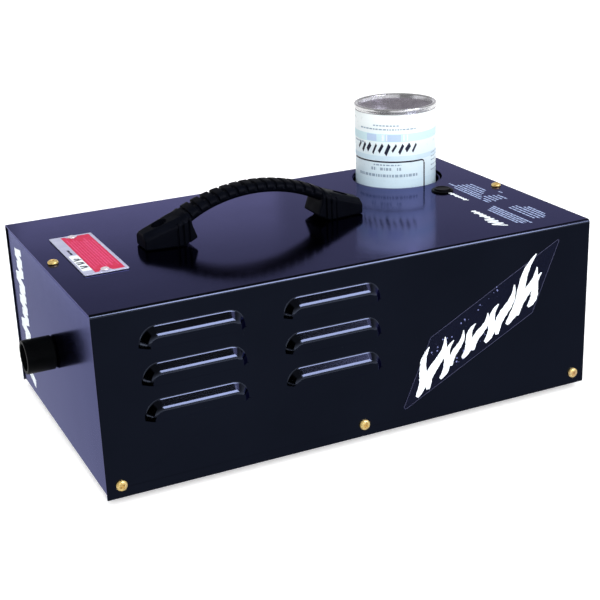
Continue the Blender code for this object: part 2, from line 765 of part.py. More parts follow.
def baked_screw(name, head, height, shank, length):
    """Mesh of a cross-head screw, its head on zero and pointing up, to be shared."""
    profile = pan_screw_profile(head, height, shank, length)
    blank = turned_part(name, profile, (0, 0, 0), "yellow_zinc", "Z", COARSE)
    for arm in range(2):
        slot = bmesh.new()
        half = (CROSS_LENGTH / 2, CROSS_WIDTH / 2)
        x, y = half if arm == 0 else half[::-1]
        draw_box(slot, (-x, -y, height - CROSS_DEPTH), (x, y, height + 1))
        cut(blank, slot)
    bpy.context.view_layer.update()
    mesh = bpy.data.meshes.new_from_object(blank.evaluated_get(bpy.context.evaluated_depsgraph_get()))
    mesh.name = name
    bpy.data.objects.remove(blank)
    return mesh


def place_screw(name, mesh, place, turn):
    screw = add_part(name, mesh, "yellow_zinc")
    screw.matrix_local = Matrix.Translation(Vector(place) * MM) @ turn
    return screw


def make_cover_screws():
    mesh = baked_screw("pan_screw", SCREW_HEAD, SCREW_HEAD_HEIGHT, SCREW_SHANK, SCREW_LENGTH)
    to_front = Matrix.Rotation(math.pi / 2, 4, "X")
    to_back = Matrix.Rotation(-math.pi / 2, 4, "X")
    for place, x in zip(("left", "middle", "right"), SCREW_XS):
        place_screw(f"cover_screw_front_{place}", mesh, (x, -GAP, SCREW_Z), to_front)
        place_screw(f"cover_screw_back_{place}", mesh, (x, CASE_DEPTH + GAP, SCREW_Z), to_back)
    for place, x in zip(("left", "right"), TOP_SCREW_XS):
        place_screw(f"cover_screw_top_{place}", mesh, (x, MID_Y, CASE_HEIGHT + GAP), TURNS["Z"])


def make_handle_screws():
    seat = CASE_HEIGHT + HANDLE_RECESS_FLOOR + GAP
    mesh = baked_screw(
        "handle_screw", HANDLE_SCREW_HEAD, HANDLE_SCREW_HEAD_HEIGHT, HANDLE_SCREW_SHANK, HANDLE_SCREW_LENGTH
    )
    for name, side in (("left", -1), ("right", 1)):
        x = HANDLE_X + side * HANDLE_SCREW_REACH
        place_screw(f"handle_screw_{name}", mesh, (x, MID_Y, seat), TURNS["Z"])


def plate_middle():
    return (PLATE_LOW[0] + PLATE_HIGH[0]) / 2


def make_rating_plate():
    bottom = CASE_HEIGHT + GAP
    top = bottom + PLATE_THICKNESS
    plate = box_part("rating_plate", (*PLATE_LOW, bottom), (*PLATE_HIGH, top), "plate_red")
    holes = bmesh.new()
    for y in RIVET_YS:
        draw_cylinder(holes, (plate_middle(), y, CASE_HEIGHT), 3 * PLATE_THICKNESS, RIVET_HOLE)
    cut(plate, holes)
    head = top + GAP
    crown, shoulder, rim = RIVET_HEAD_HEIGHTS
    end = CASE_HEIGHT - RIVET_LENGTH
    profile = [
        (0, head + crown), (0.55 * RIVET_HEAD, head + shoulder), (RIVET_HEAD, head + rim),
        (RIVET_HEAD, head), (RIVET_SHANK, head), (RIVET_SHANK, end), (0, end),
    ]
    for name, y in zip(("front", "back"), RIVET_YS):
        place = (plate_middle(), y, 0)
        turned_part(f"rating_plate_rivet_{name}", profile, place, "bright_steel", "Z", COARSE)


# --- Handle ------------------------------------------------------------------------------

def arc_height(radius, crown, x):
    """Height of an arc of that radius whose highest point is crown, at x from its middle."""
    return crown - radius + math.sqrt(radius * radius - x * x)


def handle_outline():
    """Side view of the handle, from its left tip over the ribs to the right and back."""
    ribbed = []
    for groove in range(HANDLE_RIBS):
        middle = (groove - (HANDLE_RIBS - 1) / 2) * HANDLE_RIB_PITCH
        for share, depth in ((-1.0, 0), (-0.5, 1), (0.5, 1), (1.0, 0)):
            x = middle + share * HANDLE_GROOVE
            height = arc_height(HANDLE_TOP_RADIUS, HANDLE_RISE, x)
            ribbed.append((x, height - depth * HANDLE_GROOVE_DEPTH))
    under = []
    crown = HANDLE_RISE - HANDLE_GRIP
    for step in range(HANDLE_UNDER_STEPS + 1):
        x = HANDLE_ARC_REACH * (1 - 2 * step / HANDLE_UNDER_STEPS)
        under.append((x, arc_height(HANDLE_UNDER_RADIUS, crown, x)))
    tip = [(HANDLE_REACH, HANDLE_TIP_HEIGHT), (HANDLE_REACH, GAP), (HANDLE_FOOT_REACH, GAP), HANDLE_HEEL]
    mirrored = [(-x, z) for x, z in reversed(tip)]
    return ribbed + tip + under + mirrored


def make_handle():
    mesh = outline_mesh("handle", handle_outline(), -HANDLE_WIDTH / 2, HANDLE_WIDTH / 2)
    mesh.transform(Matrix.Rotation(math.pi / 2, 4, "X"))
    handle = add_part("handle", mesh, "black_plastic", (HANDLE_X, MID_Y, CASE_HEIGHT))
    bevel = handle.modifiers.new("Bevel", "BEVEL")
    bevel.width = HANDLE_EDGE * MM
    bevel.segments = 1
    bevel.limit_method = "ANGLE"
    bevel.angle_limit = math.radians(80)
    cut(handle, handle_recesses())
    cut(handle, handle_tapers())
    return handle


def handle_recesses():
    shapes = bmesh.new()
    for side in (-1, 1):
        x = HANDLE_X + side * HANDLE_SCREW_REACH
        floor = CASE_HEIGHT + HANDLE_RECESS_FLOOR
        draw_cylinder(shapes, (x, MID_Y, floor), HANDLE_RISE, HANDLE_RECESS, "Z", ROUND)
    return shapes


def handle_tapers():
    """Wedges that narrow each end block towards its tip, and the two screw holes."""
    shapes = bmesh.new()
    inset = (HANDLE_WIDTH - HANDLE_TIP_WIDTH) / 2
    wedge = 2 * HANDLE_TIP_TAPER
    for side in (-1, 1):
        x = HANDLE_X + side * HANDLE_SCREW_REACH
        draw_cylinder(shapes, (x, MID_Y, CASE_HEIGHT - 1), HANDLE_RISE, HANDLE_SCREW_SHANK + GAP)
        for edge in (-1, 1):
            start = HANDLE_X + side * (HANDLE_REACH - HANDLE_TIP_TAPER)
            angle = -side * edge * math.atan2(inset, HANDLE_TIP_TAPER)
            block = draw_box(shapes, (-wedge, 0, -GAP), (wedge, HANDLE_WIDTH, HANDLE_RISE))
            if edge < 0:
                bmesh.ops.translate(shapes, vec=(0, -HANDLE_WIDTH, 0), verts=block)
            bmesh.ops.rotate(shapes, cent=(0, 0, 0), matrix=Matrix.Rotation(angle, 3, "Z"), verts=block)
            shift = (start, MID_Y + edge * HANDLE_WIDTH / 2, CASE_HEIGHT)
            bmesh.ops.translate(shapes, vec=shift, verts=block)
    return shapes


# --- Fog outlet and heat exchanger -------------------------------------------------------

def make_outlet():
    inner = CHASSIS_LEFT - GAP
    chamfer = NOZZLE_CHAMFER
    nozzle = [
        (NOZZLE_SPIGOT, NOZZLE_SPIGOT_END), (NOZZLE_SPIGOT, inner), (NOZZLE_RADIUS - chamfer, inner),
        (NOZZLE_RADIUS, inner - chamfer), (NOZZLE_RADIUS, chamfer / 2 - NOZZLE_OUT),
        (NOZZLE_RADIUS - chamfer / 2, -NOZZLE_OUT), (NOZZLE_MOUTH, -NOZZLE_OUT),
        (NOZZLE_MOUTH, NOZZLE_MOUTH_DEPTH - NOZZLE_OUT),
        (NOZZLE_BORE, NOZZLE_MOUTH_DEPTH + 2 - NOZZLE_OUT), (NOZZLE_BORE, NOZZLE_SPIGOT_END),
    ]
    middle = (0, MID_Y, NOZZLE_Z)
    turned_part("nozzle", nozzle, middle, "black_plastic", "X", FINE)
    ring_left = CHASSIS_LEFT + SHEET + GAP
    ring_right = ring_left + LOCK_RING_WIDTH
    bore = NOZZLE_SPIGOT + GAP
    ring = [
        (LOCK_RING_RADIUS, ring_right), (LOCK_RING_RADIUS, ring_left), (bore, ring_left), (bore, ring_right),
    ]
    turned_part("nozzle_lock_ring", ring, middle, "bright_steel", "X", ROUND)
    pipe_left = NOZZLE_SPIGOT_END - OUTLET_PIPE_ENTRY
    pipe_right = BLOCK_LOW[0] + OUTLET_PIPE_SEAT
    pipe = [
        (OUTLET_PIPE, pipe_right), (OUTLET_PIPE, pipe_left),
        (OUTLET_PIPE_BORE, pipe_left), (OUTLET_PIPE_BORE, pipe_right),
    ]
    turned_part("outlet_pipe", pipe, middle, "copper", "X", ROUND)


def make_heater():
    block = box_part("heater_block", BLOCK_LOW, BLOCK_HIGH, "cast_aluminium", BLOCK_EDGE)
    bores = bmesh.new()
    left, right = BLOCK_LOW[0], BLOCK_HIGH[0]
    past = 2.0                  # every bore starts this far outside the face it enters
    outlet = (left - past, MID_Y, NOZZLE_Z)
    draw_cylinder(bores, outlet, OUTLET_PIPE_SEAT + 2 * past, OUTLET_PIPE + 2 * GAP, "X", ROUND)
    draw_cylinder(bores, (right - FEED_DEPTH, MID_Y, FEED_Z), FEED_DEPTH + past, PIPE_HOLE, "X")
    end = right + CARTRIDGE_PROUD
    start = end - CARTRIDGE_LENGTH
    bore = (start - past, MID_Y, CARTRIDGE_Z)
    draw_cylinder(bores, bore, right - start + 2 * past, CARTRIDGE_RADIUS + 2 * GAP, "X", ROUND)
    cut(block, bores)
    tail_radius, tail = CARTRIDGE_TAIL
    cartridge = [
        (0, end), (tail_radius, end), (tail_radius, end - tail), (CARTRIDGE_RADIUS, end - tail),
        (CARTRIDGE_RADIUS, start + 1), (CARTRIDGE_RADIUS - 1, start), (0, start),
    ]
    turned_part("heater_cartridge", cartridge, (0, MID_Y, CARTRIDGE_Z), "bright_steel", "X", ROUND)
    make_jacket()
    make_brackets()
    make_thermal_controls()


def make_jacket():
    """Insulating sleeve round the block, with a window for the two thermal controls."""
    reach = JACKET_WALL + 2 * GAP
    low = (BLOCK_LOW[0] + JACKET_INSET, BLOCK_LOW[1] - reach, BLOCK_LOW[2] - reach)
    high = (BLOCK_HIGH[0] - JACKET_INSET, BLOCK_HIGH[1] + reach, BLOCK_HIGH[2] + reach)
    jacket = box_part("heater_jacket", low, high, "glass_wool")
    hollow = bmesh.new()
    room = 2 * GAP
    draw_box(
        hollow, (BLOCK_LOW[0], BLOCK_LOW[1] - room, BLOCK_LOW[2] - room),
        (BLOCK_HIGH[0], BLOCK_HIGH[1] + room, BLOCK_HIGH[2] + room),
    )
    cut(jacket, hollow)
    window = bmesh.new()
    draw_box(window, (*JACKET_WINDOW[0], BLOCK_HIGH[2]), (*JACKET_WINDOW[1], BLOCK_HIGH[2] + 2 * reach))
    cut(jacket, window)


def make_brackets():
    """Two folded brackets that hold the ends of the block above the floor."""
    front, back = BLOCK_LOW[1] + BRACKET_INSET, BLOCK_HIGH[1] - BRACKET_INSET
    outlet_room, cartridge_room, feed_room = BRACKET_ROOM
    through = 6 * BRACKET_SHEET
    for name, face, out in (("left", BLOCK_LOW[0] - GAP, -1), ("right", BLOCK_HIGH[0] + GAP, 1)):
        corners = [(face, BRACKET_TOP), (face, ON_FLOOR), (face + out * BRACKET_FOOT, ON_FLOOR)]
        path = [(x, front, z) for x, z in rounded_path(corners, BEND, 2)]
        if out > 0:
            path.reverse()
        bracket = folded_part(
            f"heater_bracket_{name}", path, (0, back - front, 0), "bright_steel", -BRACKET_SHEET
        )
        holes = bmesh.new()
        start = face - through / 2
        if out < 0:
            draw_cylinder(holes, (start, MID_Y, NOZZLE_Z), through, OUTLET_PIPE + outlet_room, "X", ROUND)
        else:
            radius = CARTRIDGE_RADIUS + cartridge_room
            draw_cylinder(holes, (start, MID_Y, CARTRIDGE_Z), through, radius, "X", ROUND)
            draw_cylinder(holes, (start, MID_Y, FEED_Z), through, PIPE_HOLE + feed_room, "X")
        cut(bracket, holes)


def make_thermal_controls():
    """A thermostat and a safety cut-out, each a flanged can with two blade terminals."""
    seat = BLOCK_HIGH[2] + GAP
    top = seat + CONTROL_HEIGHT
    flange, ledge = CONTROL_FLANGE
    half_x, half_y = BLADE_HALF
    for name, x, radius in CONTROLS:
        profile = [
            (0, top), (radius - CONTROL_EDGE, top), (radius, top - CONTROL_EDGE), (radius, seat + ledge),
            (radius + flange, seat + ledge), (radius + flange, seat), (0, seat),
        ]
        control = turned_part(name, profile, (x, MID_Y, 0), "ceramic")
        blades = bmesh.new()
        for side in (-1, 1):
            middle = x + side * radius / 2
            low = (middle - half_x, MID_Y - half_y, top - CONTROL_EDGE)
            draw_box(blades, low, (middle + half_x, MID_Y + half_y, top + BLADE_LENGTH))
        unite(control, blades)


# --- Fluid can and valve -----------------------------------------------------------------

def make_can():
    """Inverted aerosol can: domed base with a rolled rim on top, valve cup underneath."""
    top = CAN_TOP
    dome = []
    for step in range(CAN_DOME_STEPS + 1):
        share = step / CAN_DOME_STEPS
        drop = CAN_DOME_DEPTH - (CAN_DOME_DEPTH - CAN_DOME_EDGE) * share ** 2
        dome.append((CAN_DOME_REACH * share, top - drop))
    rim = [(radius, top - depth) for radius, depth in CAN_RIM_PROFILE]
    outside = dome + rim + [
        (CAN_RADIUS, top - CAN_SEAM), (CAN_RADIUS, CAN_SHOULDER),
        (CAN_RADIUS - 1.5 * CAN_WALL, CAN_SHOULDER - 3.4 * CAN_WALL), (CAN_NECK_RADIUS, CAN_NECK),
    ]
    inner_neck = CAN_NECK_RADIUS - CAN_WALL
    inside = [
        (inner_neck, CAN_NECK), (inner_neck, CAN_NECK + CAN_WALL), (CAN_RADIUS - CAN_WALL, CAN_SHOULDER),
    ]
    inside += [(radius, top - depth) for radius, depth in CAN_INNER_DOME]
    turned_part("canister_body", outside + inside, (CAN_X, CAN_Y, 0), "label_white", "Z", FINE)
    plug = inner_neck - GAP
    plug_top = CAN_NECK + 4 * CAN_WALL
    upper, lower = CAN_CUP
    boss, stem = CAN_STEM
    boss_end = CAN_CUP_BOTTOM - CAN_BOSS
    cup = [
        (0, plug_top), (plug, plug_top), (plug, CAN_NECK - GAP), (upper, CAN_NECK - GAP),
        (lower, CAN_CUP_BOTTOM), (boss, CAN_CUP_BOTTOM), (boss, boss_end), (stem, boss_end - CAN_WALL / 2),
        (stem, CAN_STEM_END), (0, CAN_STEM_END),
    ]
    turned_part("canister_valve", cup, (CAN_X, CAN_Y, 0), "bright_steel", "Z", ROUND)


def make_can_holder():
    tube = [
        (TUBE_OUTER, CASE_HEIGHT - SHEET - GAP), (TUBE_OUTER, ON_FLOOR),
        (TUBE_INNER, ON_FLOOR), (TUBE_INNER, CASE_HEIGHT - SHEET - GAP),
    ]
    sleeve = turned_part("canister_tube", tube, (CAN_X, CAN_Y, 0), "black_paint", "Z", FINE)
    window = bmesh.new()
    window_start = CAN_X - TUBE_OUTER - TUBE_WINDOW
    draw_cylinder(window, (window_start, CAN_Y, PORT_Z), 3 * TUBE_WINDOW, TUBE_WINDOW, "X")
    cut(sleeve, window)
    recess, recess_floor = SEAT_RECESS
    bore, bore_floor = SEAT_BORE
    flange, flange_top = SEAT_FLANGE
    seat = [
        (SEAT_RADIUS, SEAT_TOP), (SEAT_RADIUS, flange_top + 1), (flange, flange_top), (flange, ON_FLOOR),
        (0, ON_FLOOR), (0, bore_floor), (bore, bore_floor), (bore, recess_floor), (recess, recess_floor),
        (recess, SEAT_TOP),
    ]
    holder = turned_part("canister_seat", seat, (CAN_X, CAN_Y, 0), "brass", "Z", ROUND)
    port = bmesh.new()
    port_length = 1.5 * SEAT_RADIUS
    draw_cylinder(port, (CAN_X - port_length, CAN_Y, PORT_Z), port_length - 1, PIPE_HOLE, "X")
    cut(holder, port)
    low = recess_floor + GAP
    high = low + SEAL_HEIGHT
    middle = (low + high) / 2
    outer = recess - GAP
    lip, inner = SEAL_INNER
    seal = [
        (outer - SEAL_EDGE, high), (outer, middle), (outer - SEAL_EDGE, low), (inner, low), (lip, middle),
        (inner, high),
    ]
    turned_part("canister_seal", seal, (CAN_X, CAN_Y, 0), "black_rubber", "Z", ROUND)


def make_valve():
    """Solenoid valve: body with two ports, coil above it, plunger and spring inside."""
    body = box_part(
        "valve_body", (VALVE_X - VALVE_HALF, CAN_Y - VALVE_HALF, ON_FLOOR),
        (VALVE_X + VALVE_HALF, CAN_Y + VALVE_HALF, VALVE_TOP), "brass", VALVE_EDGE,
    )
    bores = bmesh.new()
    past = 2.0
    port = PORT_DEPTH + past
    draw_cylinder(bores, (VALVE_X - VALVE_HALF - past, CAN_Y, PORT_Z), port, PIPE_HOLE, "X")
    draw_cylinder(bores, (VALVE_X + VALVE_HALF - PORT_DEPTH, CAN_Y, PORT_Z), port, PIPE_HOLE, "X")
    seat = PLUNGER_LOW - GAP
    draw_cylinder(bores, (VALVE_X, CAN_Y, seat), VALVE_TOP + past - seat, PLUNGER_BORE, "Z", ROUND)
    cut(body, bores)
    coil_half = VALVE_HALF - COIL_INSET
    coil = box_part(
        "valve_coil", (VALVE_X - coil_half, CAN_Y - coil_half, VALVE_TOP + GAP),
        (VALVE_X + coil_half, CAN_Y + coil_half, COIL_TOP), "black_plastic", COIL_EDGE,
    )
    bore = bmesh.new()
    foot = VALVE_TOP - past
    draw_cylinder(bore, (VALVE_X, CAN_Y, foot), COIL_BORE_TOP - foot, PLUNGER_BORE, "Z", ROUND)
    cut(coil, bore)
    tip_radius, tip = PLUNGER_TIP
    plunger = [
        (0, PLUNGER_HIGH), (PLUNGER_RADIUS - PLUNGER_CHAMFER, PLUNGER_HIGH),
        (PLUNGER_RADIUS, PLUNGER_HIGH - PLUNGER_CHAMFER), (PLUNGER_RADIUS, PLUNGER_LOW + tip),
        (tip_radius, PLUNGER_LOW), (0, PLUNGER_LOW),
    ]
    turned_part("valve_plunger", plunger, (VALVE_X, CAN_Y, 0), "bright_steel")
    spring_part("valve_spring", (VALVE_X, CAN_Y), VALVE_SPRING, PLUNGER_HIGH + GAP, COIL_BORE_TOP - GAP)


def make_pipes():
    """A straight pipe from the can's seat to the valve, and one that climbs to the heater."""
    inlet = [(CAN_X - 4, CAN_Y, PORT_Z), (VALVE_X + VALVE_HALF - PIPE_ENTRY, CAN_Y, PORT_Z)]
    tube_part("inlet_pipe", [Vector(point) for point in inlet], PIPE_RADIUS, "copper")
    outlet = VALVE_X - VALVE_HALF
    right = BLOCK_HIGH[0]
    feed = [(outlet + PIPE_ENTRY, CAN_Y, PORT_Z), (outlet - 4, CAN_Y, PORT_Z)]
    feed += [(right + x, y, z) for x, y, z in FEED_BENDS]
    feed += [(right + 8, MID_Y, FEED_Z), (right - 8, MID_Y, FEED_Z)]
    tube_part("feed_pipe", smooth_route(feed, 3), PIPE_RADIUS, "copper")


# --- Fog button --------------------------------------------------------------------------

def make_button():
    """Push button: bezel with a barrel, sprung cap with a pin, contact block below."""
    deck = CASE_HEIGHT + GAP
    rim = deck + BUTTON_RIM
    wall_bore = BUTTON_CAP + GAP
    housing = [
        (BUTTON_BEZEL - BUTTON_RIM_EDGE, rim), (BUTTON_BEZEL, rim - BUTTON_RIM_EDGE), (BUTTON_BEZEL, deck),
        (BUTTON_BARREL, deck), (BUTTON_BARREL, BUTTON_BARREL_BOTTOM),
        (BUTTON_PIN + GAP, BUTTON_BARREL_BOTTOM), (BUTTON_PIN + GAP, BUTTON_FLOOR),
        (wall_bore, BUTTON_FLOOR), (wall_bore, rim),
    ]
    place = (BUTTON_X, BUTTON_Y, 0)
    turned_part("fog_button_housing", housing, place, "black_plastic")
    top = CASE_HEIGHT + BUTTON_PROUD
    cap = [(radius, top - depth) for radius, depth in BUTTON_CROWN]
    cap += [
        (BUTTON_CAP, BUTTON_CAP_BOTTOM), (BUTTON_PIN, BUTTON_CAP_BOTTOM), (BUTTON_PIN, BUTTON_PIN_END),
        (0, BUTTON_PIN_END),
    ]
    turned_part("fog_button", cap, place, "black_plastic")
    spring_part("fog_button_spring", place, BUTTON_SPRING, BUTTON_FLOOR + GAP, BUTTON_CAP_BOTTOM - GAP)
    half_x, half_y = CONTACT_SIZE[0] / 2, CONTACT_SIZE[1] / 2
    high = BUTTON_BARREL_BOTTOM - GAP
    block = box_part(
        "fog_button_contact", (BUTTON_X - half_x, BUTTON_Y - half_y, high - CONTACT_SIZE[2]),
        (BUTTON_X + half_x, BUTTON_Y + half_y, high), "lead_grey", CONTACT_EDGE,
    )
    recess = bmesh.new()
    draw_cylinder(recess, (BUTTON_X, BUTTON_Y, high - CONTACT_BORE), CONTACT_BORE + 2, BUTTON_PIN + 2 * GAP)
    cut(block, recess)


# --- Right end ---------------------------------------------------------------------------

def make_inlet():
    face = CHASSIS_RIGHT + GAP
    front = face + INLET_FLANGE_THICKNESS
    half_y, half_z = INLET_FLANGE
    housing = box_part(
        "inlet_housing", (face, INLET_Y - half_y, INLET_Z - half_z),
        (front, INLET_Y + half_y, INLET_Z + half_z), "black_plastic", INLET_EDGE,
    )
    body = bmesh.new()
    half_y, half_z = INLET_BODY
    draw_box(
        body, (INLET_BACK, INLET_Y - half_y, INLET_Z - half_z),
        (face + 1, INLET_Y + half_y, INLET_Z + half_z),
    )
    unite(housing, body)
    cut(housing, inlet_hollows(front))
    cut(housing, pin_slots(front))
    make_inlet_pins()
    make_fuse_drawer(front)


def inlet_hollows(front):
    """The keyed socket and the drawer's slot."""
    hollows = bmesh.new()
    half_y, half_z = SOCKET_HALF
    low = (front - SOCKET_DEPTH, INLET_Y - half_y, SOCKET_Z - half_z)
    verts = draw_box(hollows, low, (front + 2, INLET_Y + half_y, SOCKET_Z + half_z))
    keyed = [
        edge for edge in {edge for vert in verts for edge in vert.link_edges}
        if abs(edge.verts[0].co.x - edge.verts[1].co.x) > 1
        and all(vert.co.z > SOCKET_Z for vert in edge.verts)
    ]
    bmesh.ops.bevel(hollows, geom=keyed, offset=SOCKET_KEY, segments=1, affect="EDGES")
    half_y, half_z = DRAWER_HALF[0] + GAP, DRAWER_HALF[1] + GAP
    draw_box(
        hollows, (DRAWER_BACK - 1, INLET_Y - half_y, DRAWER_Z - half_z),
        (front + 2, INLET_Y + half_y, DRAWER_Z + half_z),
    )
    return hollows


def pin_slots(front):
    """Slots that the pins stand in, from the back of the housing into the socket."""
    slots = bmesh.new()
    half_y, half_z = PIN_HALF[0] + GAP, PIN_HALF[1] + GAP
    for y, z in PIN_PLACES.values():
        draw_box(
            slots, (INLET_BACK - 2, INLET_Y + y - half_y, SOCKET_Z + z - half_z),
            (front - SOCKET_DEPTH + 1, INLET_Y + y + half_y, SOCKET_Z + z + half_z),
        )
    return slots


def make_inlet_pins():
    for name, (y, z) in PIN_PLACES.items():
        low = (PIN_INNER, INLET_Y + y - PIN_HALF[0], SOCKET_Z + z - PIN_HALF[1])
        high = (PIN_OUTER, INLET_Y + y + PIN_HALF[0], SOCKET_Z + z + PIN_HALF[1])
        box_part(f"inlet_pin_{name}", low, high, "bright_steel", PIN_EDGE)


def make_fuse_drawer(front):
    """Drawer with a finger lip, hollowed from above for the fuse it carries."""
    half_y, half_z = DRAWER_HALF
    drawer = box_part(
        "fuse_drawer", (DRAWER_BACK, INLET_Y - half_y, DRAWER_Z - half_z),
        (front + 1, INLET_Y + half_y, DRAWER_Z + half_z), "black_plastic",
    )
    lip = bmesh.new()
    lip_y, lip_z = half_y + DRAWER_LIP_REACH[0], half_z + DRAWER_LIP_REACH[1]
    draw_box(
        lip, (front + GAP, INLET_Y - lip_y, DRAWER_Z - lip_z),
        (front + DRAWER_LIP, INLET_Y + lip_y, DRAWER_Z + lip_z),
    )
    unite(drawer, lip)
    tray = bmesh.new()
    end, side, floor = TRAY_WALL
    tray_floor = DRAWER_Z - half_z + floor
    draw_box(
        tray, (DRAWER_BACK + end, INLET_Y - half_y + side, tray_floor),
        (front - DRAWER_LIP, INLET_Y + half_y - side, DRAWER_Z + half_z + 2),
    )
    cut(drawer, tray)
    middle = (DRAWER_BACK + end + 2 * GAP, INLET_Y, tray_floor + GAP + FUSE_RADIUS)
    profile = [(0, FUSE_LENGTH), (FUSE_RADIUS, FUSE_LENGTH), (FUSE_RADIUS, 0), (0, 0)]
    turned_part("fuse", profile, middle, "ceramic", "X", COARSE)


def rocker_outline():
    """Side view of the rocker about its axis, z along the first coordinate, x the second."""
    nose, waist, between = ROCKER_TOP
    heel, side, under = ROCKER_HEEL
    length = ROCKER_HALF_LENGTH
    return [
        (length, nose), (length / 2, between), (0, waist), (-length / 2, between), (-length, nose),
        (-length, side), (-heel, under), (heel, under), (length, side),
    ]


def make_switch():
    face = CHASSIS_RIGHT + GAP
    front = face + SWITCH_BEZEL_HEIGHT
    half_y, half_z = SWITCH_BEZEL
    body = box_part(
        "power_switch_body", (face, SWITCH_Y - half_y, SWITCH_Z - half_z),
        (front, SWITCH_Y + half_y, SWITCH_Z + half_z), "black_plastic", SWITCH_EDGE,
    )
    inner = bmesh.new()
    half_y, half_z = SWITCH_BODY
    draw_box(
        inner, (SWITCH_BACK, SWITCH_Y - half_y, SWITCH_Z - half_z),
        (face + 1, SWITCH_Y + half_y, SWITCH_Z + half_z),
    )
    unite(body, inner)
    opening = bmesh.new()
    half_y, half_z = SWITCH_OPENING
    draw_box(
        opening, (SWITCH_BACK + SWITCH_WALL, SWITCH_Y - half_y, SWITCH_Z - half_z),
        (front + 2, SWITCH_Y + half_y, SWITCH_Z + half_z),
    )
    cut(body, opening)
    sockets = bmesh.new()
    reach = SWITCH_BODY[0] + 2
    draw_cylinder(sockets, (ROCKER_AXIS_X, SWITCH_Y - reach, SWITCH_Z), 2 * reach, TRUNNION + 2 * GAP, "Y")
    cut(body, sockets)
    make_rocker()


def make_rocker():
    """Rocker on two trunnions, resting with its lower end pressed in."""
    mesh = outline_mesh("power_switch_rocker", rocker_outline(), -ROCKER_HALF_WIDTH, ROCKER_HALF_WIDTH)
    swap = Matrix(((0, 1, 0, 0), (0, 0, 1, 0), (1, 0, 0, 0), (0, 0, 0, 1)))
    mesh.transform(swap)
    rocker = add_part("power_switch_rocker", mesh, "black_plastic", (ROCKER_AXIS_X, SWITCH_Y, SWITCH_Z))
    rocker.rotation_euler = (0, ROCKER_TILT, 0)
    trunnions = bmesh.new()
    start = (ROCKER_AXIS_X, SWITCH_Y - TRUNNION_REACH, SWITCH_Z)
    draw_cylinder(trunnions, start, 2 * TRUNNION_REACH, TRUNNION, "Y")
    unite(rocker, trunnions)


def make_lamp_and_remote():
    face = CHASSIS_RIGHT + GAP
    tip = CASE_LENGTH + LAMP_OUT
    bezel, bezel_height = LAMP_BEZEL
    end = face - LAMP_BODY_LENGTH
    lamp = [(radius, tip - depth) for radius, depth in LAMP_LENS]
    lamp += [
        (LAMP_LENS[-1][0], face + bezel_height), (bezel, face + bezel_height), (bezel, face),
        (LAMP_RADIUS, face), (LAMP_RADIUS, end), (0, end),
    ]
    turned_part("ready_lamp", lamp, (0, SWITCH_Y, LAMP_Z), "lamp_amber", "X", ROUND)
    front = face + REMOTE_HEIGHT
    floor = REMOTE_BACK + REMOTE_WALL
    remote = [
        (REMOTE_FLANGE - REMOTE_EDGE, front), (REMOTE_FLANGE, front - REMOTE_EDGE), (REMOTE_FLANGE, face),
        (REMOTE_BODY, face), (REMOTE_BODY, REMOTE_BACK), (0, REMOTE_BACK), (0, floor),
        (REMOTE_RECESS, floor), (REMOTE_RECESS, front),
    ]
    turned_part("remote_socket", remote, (0, REMOTE_Y, REMOTE_Z), "bright_steel", "X", ROUND)


# --- Board and wiring --------------------------------------------------------------------

def make_board():
    """Control board on four pillars, with its relay, capacitor and heat sink."""
    top = BOARD_Z + BOARD_THICKNESS
    board = box_part("control_board", (*BOARD_LOW, BOARD_Z), (*BOARD_HIGH, top), "board_green")
    fitted = bmesh.new()
    for x in (BOARD_LOW[0] + PILLAR_INSET, BOARD_HIGH[0] - PILLAR_INSET):
        for y in (BOARD_LOW[1] + PILLAR_INSET, BOARD_HIGH[1] - PILLAR_INSET):
            draw_cylinder(fitted, (x, y, ON_FLOOR), BOARD_Z - ON_FLOOR + 1, PILLAR_RADIUS)
    seat = top - SOLDERED
    for (low, high, height), bevel in ((RELAY, 0.5), (HEAT_SINK, 0.0)):
        draw_box(fitted, (*low, seat), (*high, top + height), bevel)
    place, radius, height = CAPACITOR
    draw_cylinder(fitted, (*place, seat), height + SOLDERED, radius, "Z", ROUND)
    unite(board, fitted)
    low = (*TERMINAL_LOW, top + GAP)
    high = tuple(a + b for a, b in zip(low, TERMINAL_SIZE))
    block = box_part("terminal_block", low, high, "ceramic", TERMINAL_EDGE)
    ways = bmesh.new()
    half, depth, floor, roof = TERMINAL_MOUTH
    radius, reach, deep = TERMINAL_SCREW
    pitch = TERMINAL_SIZE[0] / TERMINAL_WAYS
    for way in range(TERMINAL_WAYS):
        x = low[0] + pitch * (way + 0.5)
        draw_box(ways, (x - half, low[1] - 1, low[2] + floor), (x + half, low[1] + depth, low[2] + roof))
        draw_cylinder(ways, (x, low[1] + reach, high[2] - deep), deep + 2, radius)
    cut(block, ways)
    return high


def make_wiring(terminals):
    """Leads laid between the inlet, the terminal block, the heater and the valve coil."""
    back = terminals[1] + 2 * GAP
    height = terminals[2] - 5
    inlet = (PIN_INNER - 3, INLET_Y, SOCKET_Z)
    mains_end = [(MAINS_WAY, back + 5, height + 9), (MAINS_WAY, back + 2.2, height)]
    tube_part("mains_lead", smooth_route([inlet, *MAINS_BENDS, *mains_end], 3), LEAD_RADIUS, "lead_grey")
    tail = BLOCK_HIGH[0] + CARTRIDGE_PROUD + GAP + 1
    heater = [(tail, MID_Y, CARTRIDGE_Z), (tail + 10, MID_Y - 3, CARTRIDGE_Z - 3), *HEATER_BENDS]
    heater += [(HEATER_WAY, back + 4, height + 8), (HEATER_WAY, back + 2.2, height)]
    tube_part("heater_lead", smooth_route(heater, 3), HEATER_LEAD_RADIUS, "lead_grey")


